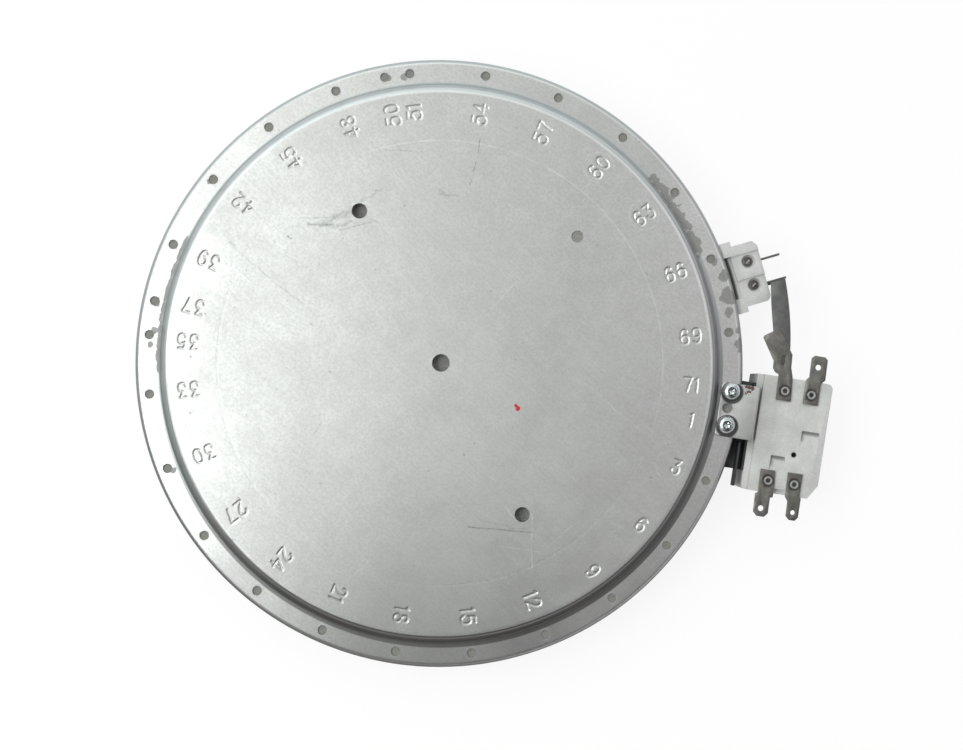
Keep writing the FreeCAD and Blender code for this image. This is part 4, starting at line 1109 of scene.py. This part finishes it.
def make_rivets():
    """Tubular rivets with a rolled-over collar."""
    middle = (RIVET_BORE + RIVET_COLLAR) / 2
    half = (RIVET_COLLAR - RIVET_BORE) / 2
    low = CERAMIC_TOP - RIVET_LENGTH
    for name, spot in RIVETS.items():
        profile = [(0, low), (RIVET_SHANK, low), (RIVET_SHANK, TAB_TOP), (RIVET_COLLAR, TAB_TOP)]
        for k in range(11):
            turn = math.radians(18 * k)
            profile.append((middle + half * math.cos(turn), TAB_TOP + 0.1 + RIVET_ROLL * math.sin(turn)))
        profile += [(RIVET_BORE, TAB_TOP - RIVET_BORE_DEPTH), (0, TAB_TOP - RIVET_BORE_DEPTH - 0.05)]
        rivet = add_mesh("%s_rivet" % name, *revolve(profile, 40, spot))
        smooth(rivet, 50)
        place_piece(rivet, "plated_tab", "limiter_rivets")


def make_terminal_screws():
    """Dark hollow screws deep in the block's round recesses, a bright blade across each."""
    wide, long = CUP_BLADE_HALF
    low, high = CUP_BLADE_DEPTHS
    for k, (x, y, top) in enumerate(TERMINAL_SCREWS):
        cup = [(radius, top - depth) for radius, depth in CUP_FORM]
        screw = add_mesh("terminal_screw_%d" % (k + 1), *revolve(cup, 48, (x, y)))
        smooth(screw, 38)
        place_piece(screw, "plated_tab", "terminal_screws")
        points, faces = block(-wide, wide, -long, long, top - low, top - high, CUP_BLADE_TURN_DEG)
        points = [(x + px, y + py, pz) for px, py, pz in points]
        blade = add_mesh("terminal_screw_blade_%d" % (k + 1), points, faces)
        place_piece(blade, "bracket_steel", "terminal_screws")


def ribbon_arcs():
    """Centre line of the ribbon as arcs (centre, radius, start, sweep), the terminal on +x."""
    tracks = [OUTER_TRACK - TRACK_PITCH * i for i in range(TRACK_COUNT)]
    bend = TRACK_PITCH / 2
    half = []
    angle = math.degrees(math.asin(FIRST_WAVE_AT / OUTER_TRACK))
    for i, radius in enumerate(tracks[:-1]):
        middle = radius - bend
        gap = math.degrees(math.asin((bend + TURN_MARGIN) / middle))
        outward = i % 2 == 0
        end = 180 - gap if outward else gap
        half.append(((0.0, 0.0), radius, angle, end - angle))
        half.append((polar(middle, end), bend, end, 180 if outward else -180))
        angle = end
    inner = ((0.0, 0.0), tracks[-1], angle, -2 * angle)
    mirrored = [((x, -y), radius, -(begin + sweep), sweep)
                for (x, y), radius, begin, sweep in reversed(half)]
    return half + [inner] + mirrored


def ribbon_line():
    """The waved centre line, with a straight lead at each end."""
    line = [Vector((LEAD_OUTER, FREE_LEAD_AT)), Vector((LEAD_INNER, FREE_LEAD_AT))]
    travelled = 0.0
    for (x, y), radius, begin, sweep in ribbon_arcs():
        length = radius * math.radians(abs(sweep))
        steps = max(4, round(length / WAVE_LENGTH * POINTS_PER_WAVE))
        for k in range(steps):
            angle = begin + sweep * k / steps
            nx, ny = polar(1 if sweep > 0 else -1, angle)
            px, py = polar(radius, angle)
            phase = 2 * math.pi * (travelled + length * k / steps) / WAVE_LENGTH
            shift = WAVE_REACH * math.sin(phase)
            line.append(Vector((x + px + nx * shift, y + py + ny * shift)))
        travelled += length
    return line + [Vector((LEAD_INNER, BRIDGED_LEAD_AT)), Vector((LEAD_OUTER, BRIDGED_LEAD_AT))]


def make_ribbon():
    """Thin corrugated strip on edge, a sine wave along the arcs."""
    low, high = [corner.z for corner in box_of("heating_ribbon")]
    line = ribbon_line()
    points = []
    faces = []
    for i, here in enumerate(line):
        ahead = (line[min(i + 1, len(line) - 1)] - line[max(i - 1, 0)]).normalized()
        side = Vector((-ahead.y, ahead.x)) * FOIL_HALF
        for spot in (here + side, here - side):
            x, y = TERMINAL_TURN @ spot
            points += [(x, y, low), (x, y, high)]
    for i in range(len(line) - 1):
        a, b = 4 * i, 4 * i + 4
        faces += [(a, b, b + 1, a + 1), (a + 3, b + 3, b + 2, a + 2), (a + 1, b + 1, b + 3, a + 3),
                  (a + 2, b + 2, b, a)]
    end = 4 * (len(line) - 1)
    faces += [(0, 1, 3, 2), (end + 2, end + 3, end + 1, end)]
    ribbon = add_mesh("corrugated_ribbon", points, faces)
    smooth(ribbon, 50)
    place_piece(ribbon, "resistance_strip", "heating_ribbon")


# Solids that only get their edges broken: node, piece, width of the bevel in millimetres
SOFTENED = [("limiter_head", "ceramic_head", 0.35), ("limiter_cover", "ceramic_cover", 0.3),
            ("terminal_block", "ceramic_terminal_block", 0.35),
            ("limiter_bracket", "folded_bracket", 0.28), ("limiter_plate", "angled_plate", 0.12),
            ("earth_tab", "earth_blade", 0.14), ("bridge_strip", "bridging_strip", 0.12),
            ("free_blade", "open_blade", 0.14), ("bridged_blade", "joined_blade", 0.14),
            ("bridged_tab", "bridged_flat_tab", 0.14), ("feed_tab", "feed_flat_tab", 0.14),
            ("supply_tab", "supply_flat_tab", 0.14), ("signal_tab", "signal_flat_tab", 0.14)]

make_pan()
make_ribbon()
make_screws()
make_rivets()
make_terminal_screws()
for node, name, bevel in SOFTENED:
    softened(node, name, bevel)
for name, node in frame["nodes"].items():
    if name not in replaced:
        node.data.materials.clear()
        node.data.materials.append(finishes[slots[name]])

# Floor in millimetres, studio, and lamps: name, place, target, size, power, colour, in metres
FLOOR_REACH = 3000
PAPER = (0.86, 0.86, 0.86)
WHITE = (1, 1, 1)
PAPER_GLOW = 1.04
GLOW_SHARE = 0.84
DARKER_SIDE = (0.80, -0.60, 0.0)
LOWER_SIDE = (0.10, -0.99, 0.0)
DIM_LEVEL = 0.28
WALL_LEVEL = 0.72
STUDIO_LEFT, STUDIO_RIGHT = (0.94, 1.0, 0.95), (1.0, 0.985, 0.985)
LAMPS = [("softbox", (-0.44, -0.14, 0.75), (-0.44, -0.14, 0), (0.5, 0.6), 3.8, (0.95, 1.0, 0.96)),
         ("key", (-0.55, 0.55, 0.85), (0, 0, 0), (0.4, 0.4), 1.0, WHITE),
         ("fill", (0.45, 0.16, 0.75), (0.45, 0.16, 0), (0.4, 0.4), 0.45, WHITE)]


def make_floor():
    """Sheet of white paper that keeps the shadow and shows white to camera and reflections."""
    r = FLOOR_REACH
    floor = add_mesh("floor", [(-r, -r, 0), (r, -r, 0), (r, r, 0), (-r, r, 0)], [(0, 1, 2, 3)])
    material = bpy.data.materials.new("white_paper")
    material.use_nodes = True
    build = Tree(material.node_tree)
    nodes = material.node_tree.nodes
    nodes.remove(nodes["Principled BSDF"])
    matt = build.add("ShaderNodeBsdfDiffuse", {"Color": PAPER})
    glow = build.add("ShaderNodeEmission", {"Color": WHITE, "Strength": PAPER_GLOW})
    path = build.add("ShaderNodeLightPath").outputs
    shown = build.most(path["Is Camera Ray"], path["Is Glossy Ray"], path["Is Transmission Ray"])
    mixed = build.add("ShaderNodeMixShader", {0: build.times(shown, GLOW_SHARE),
                                              1: matt.outputs[0], 2: glow.outputs[0]})
    build.feed(nodes["Material Output"].inputs["Surface"], mixed.outputs[0])
    floor.data.materials.append(material)


def make_world():
    """Studio: bright overhead on the left, darker on the right, a white backdrop all round."""
    world = bpy.data.worlds.new("studio")
    bpy.context.scene.world = world
    world.use_nodes = True
    build = Tree(world.node_tree)
    background = world.node_tree.nodes["Background"].inputs
    way = build.add("ShaderNodeTexCoord").outputs["Generated"]
    side = build.vector("DOT_PRODUCT", way, DARKER_SIDE)
    below = build.vector("DOT_PRODUCT", way, LOWER_SIDE)
    height = build.parts(way)["Z"]
    overhead = build.times(build.spread(side, -0.36, 0.18, 1.0, DIM_LEVEL),
                           build.spread(below, -0.04, 0.20, 1.0, DIM_LEVEL))
    walls = build.spread(height, 0.30, 0.62, WALL_LEVEL, 0.0)
    backdrop = build.spread(height, 0.24, 0.30, 1.0, 0.0)
    build.feed(background["Strength"], build.most(overhead, walls, backdrop))
    build.feed(background["Color"], build.blend(build.spread(side, -0.4, 0.3), STUDIO_LEFT, STUDIO_RIGHT))


def area_light(name, place, target, size, power, colour):
    data = bpy.data.lights.new(name, "AREA")
    data.shape = "RECTANGLE"
    data.size, data.size_y = size
    data.energy = power
    data.color = colour
    lamp = bpy.data.objects.new(name, data)
    lamp.location = place
    lamp.rotation_euler = (Vector(target) - Vector(place)).to_track_quat("-Z", "Y").to_euler()
    bpy.context.scene.collection.objects.link(lamp)


make_floor()
make_world()
for lamp in LAMPS:
    area_light(*lamp)
make_camera()
bpy.context.scene.view_settings.view_transform = "Standard"
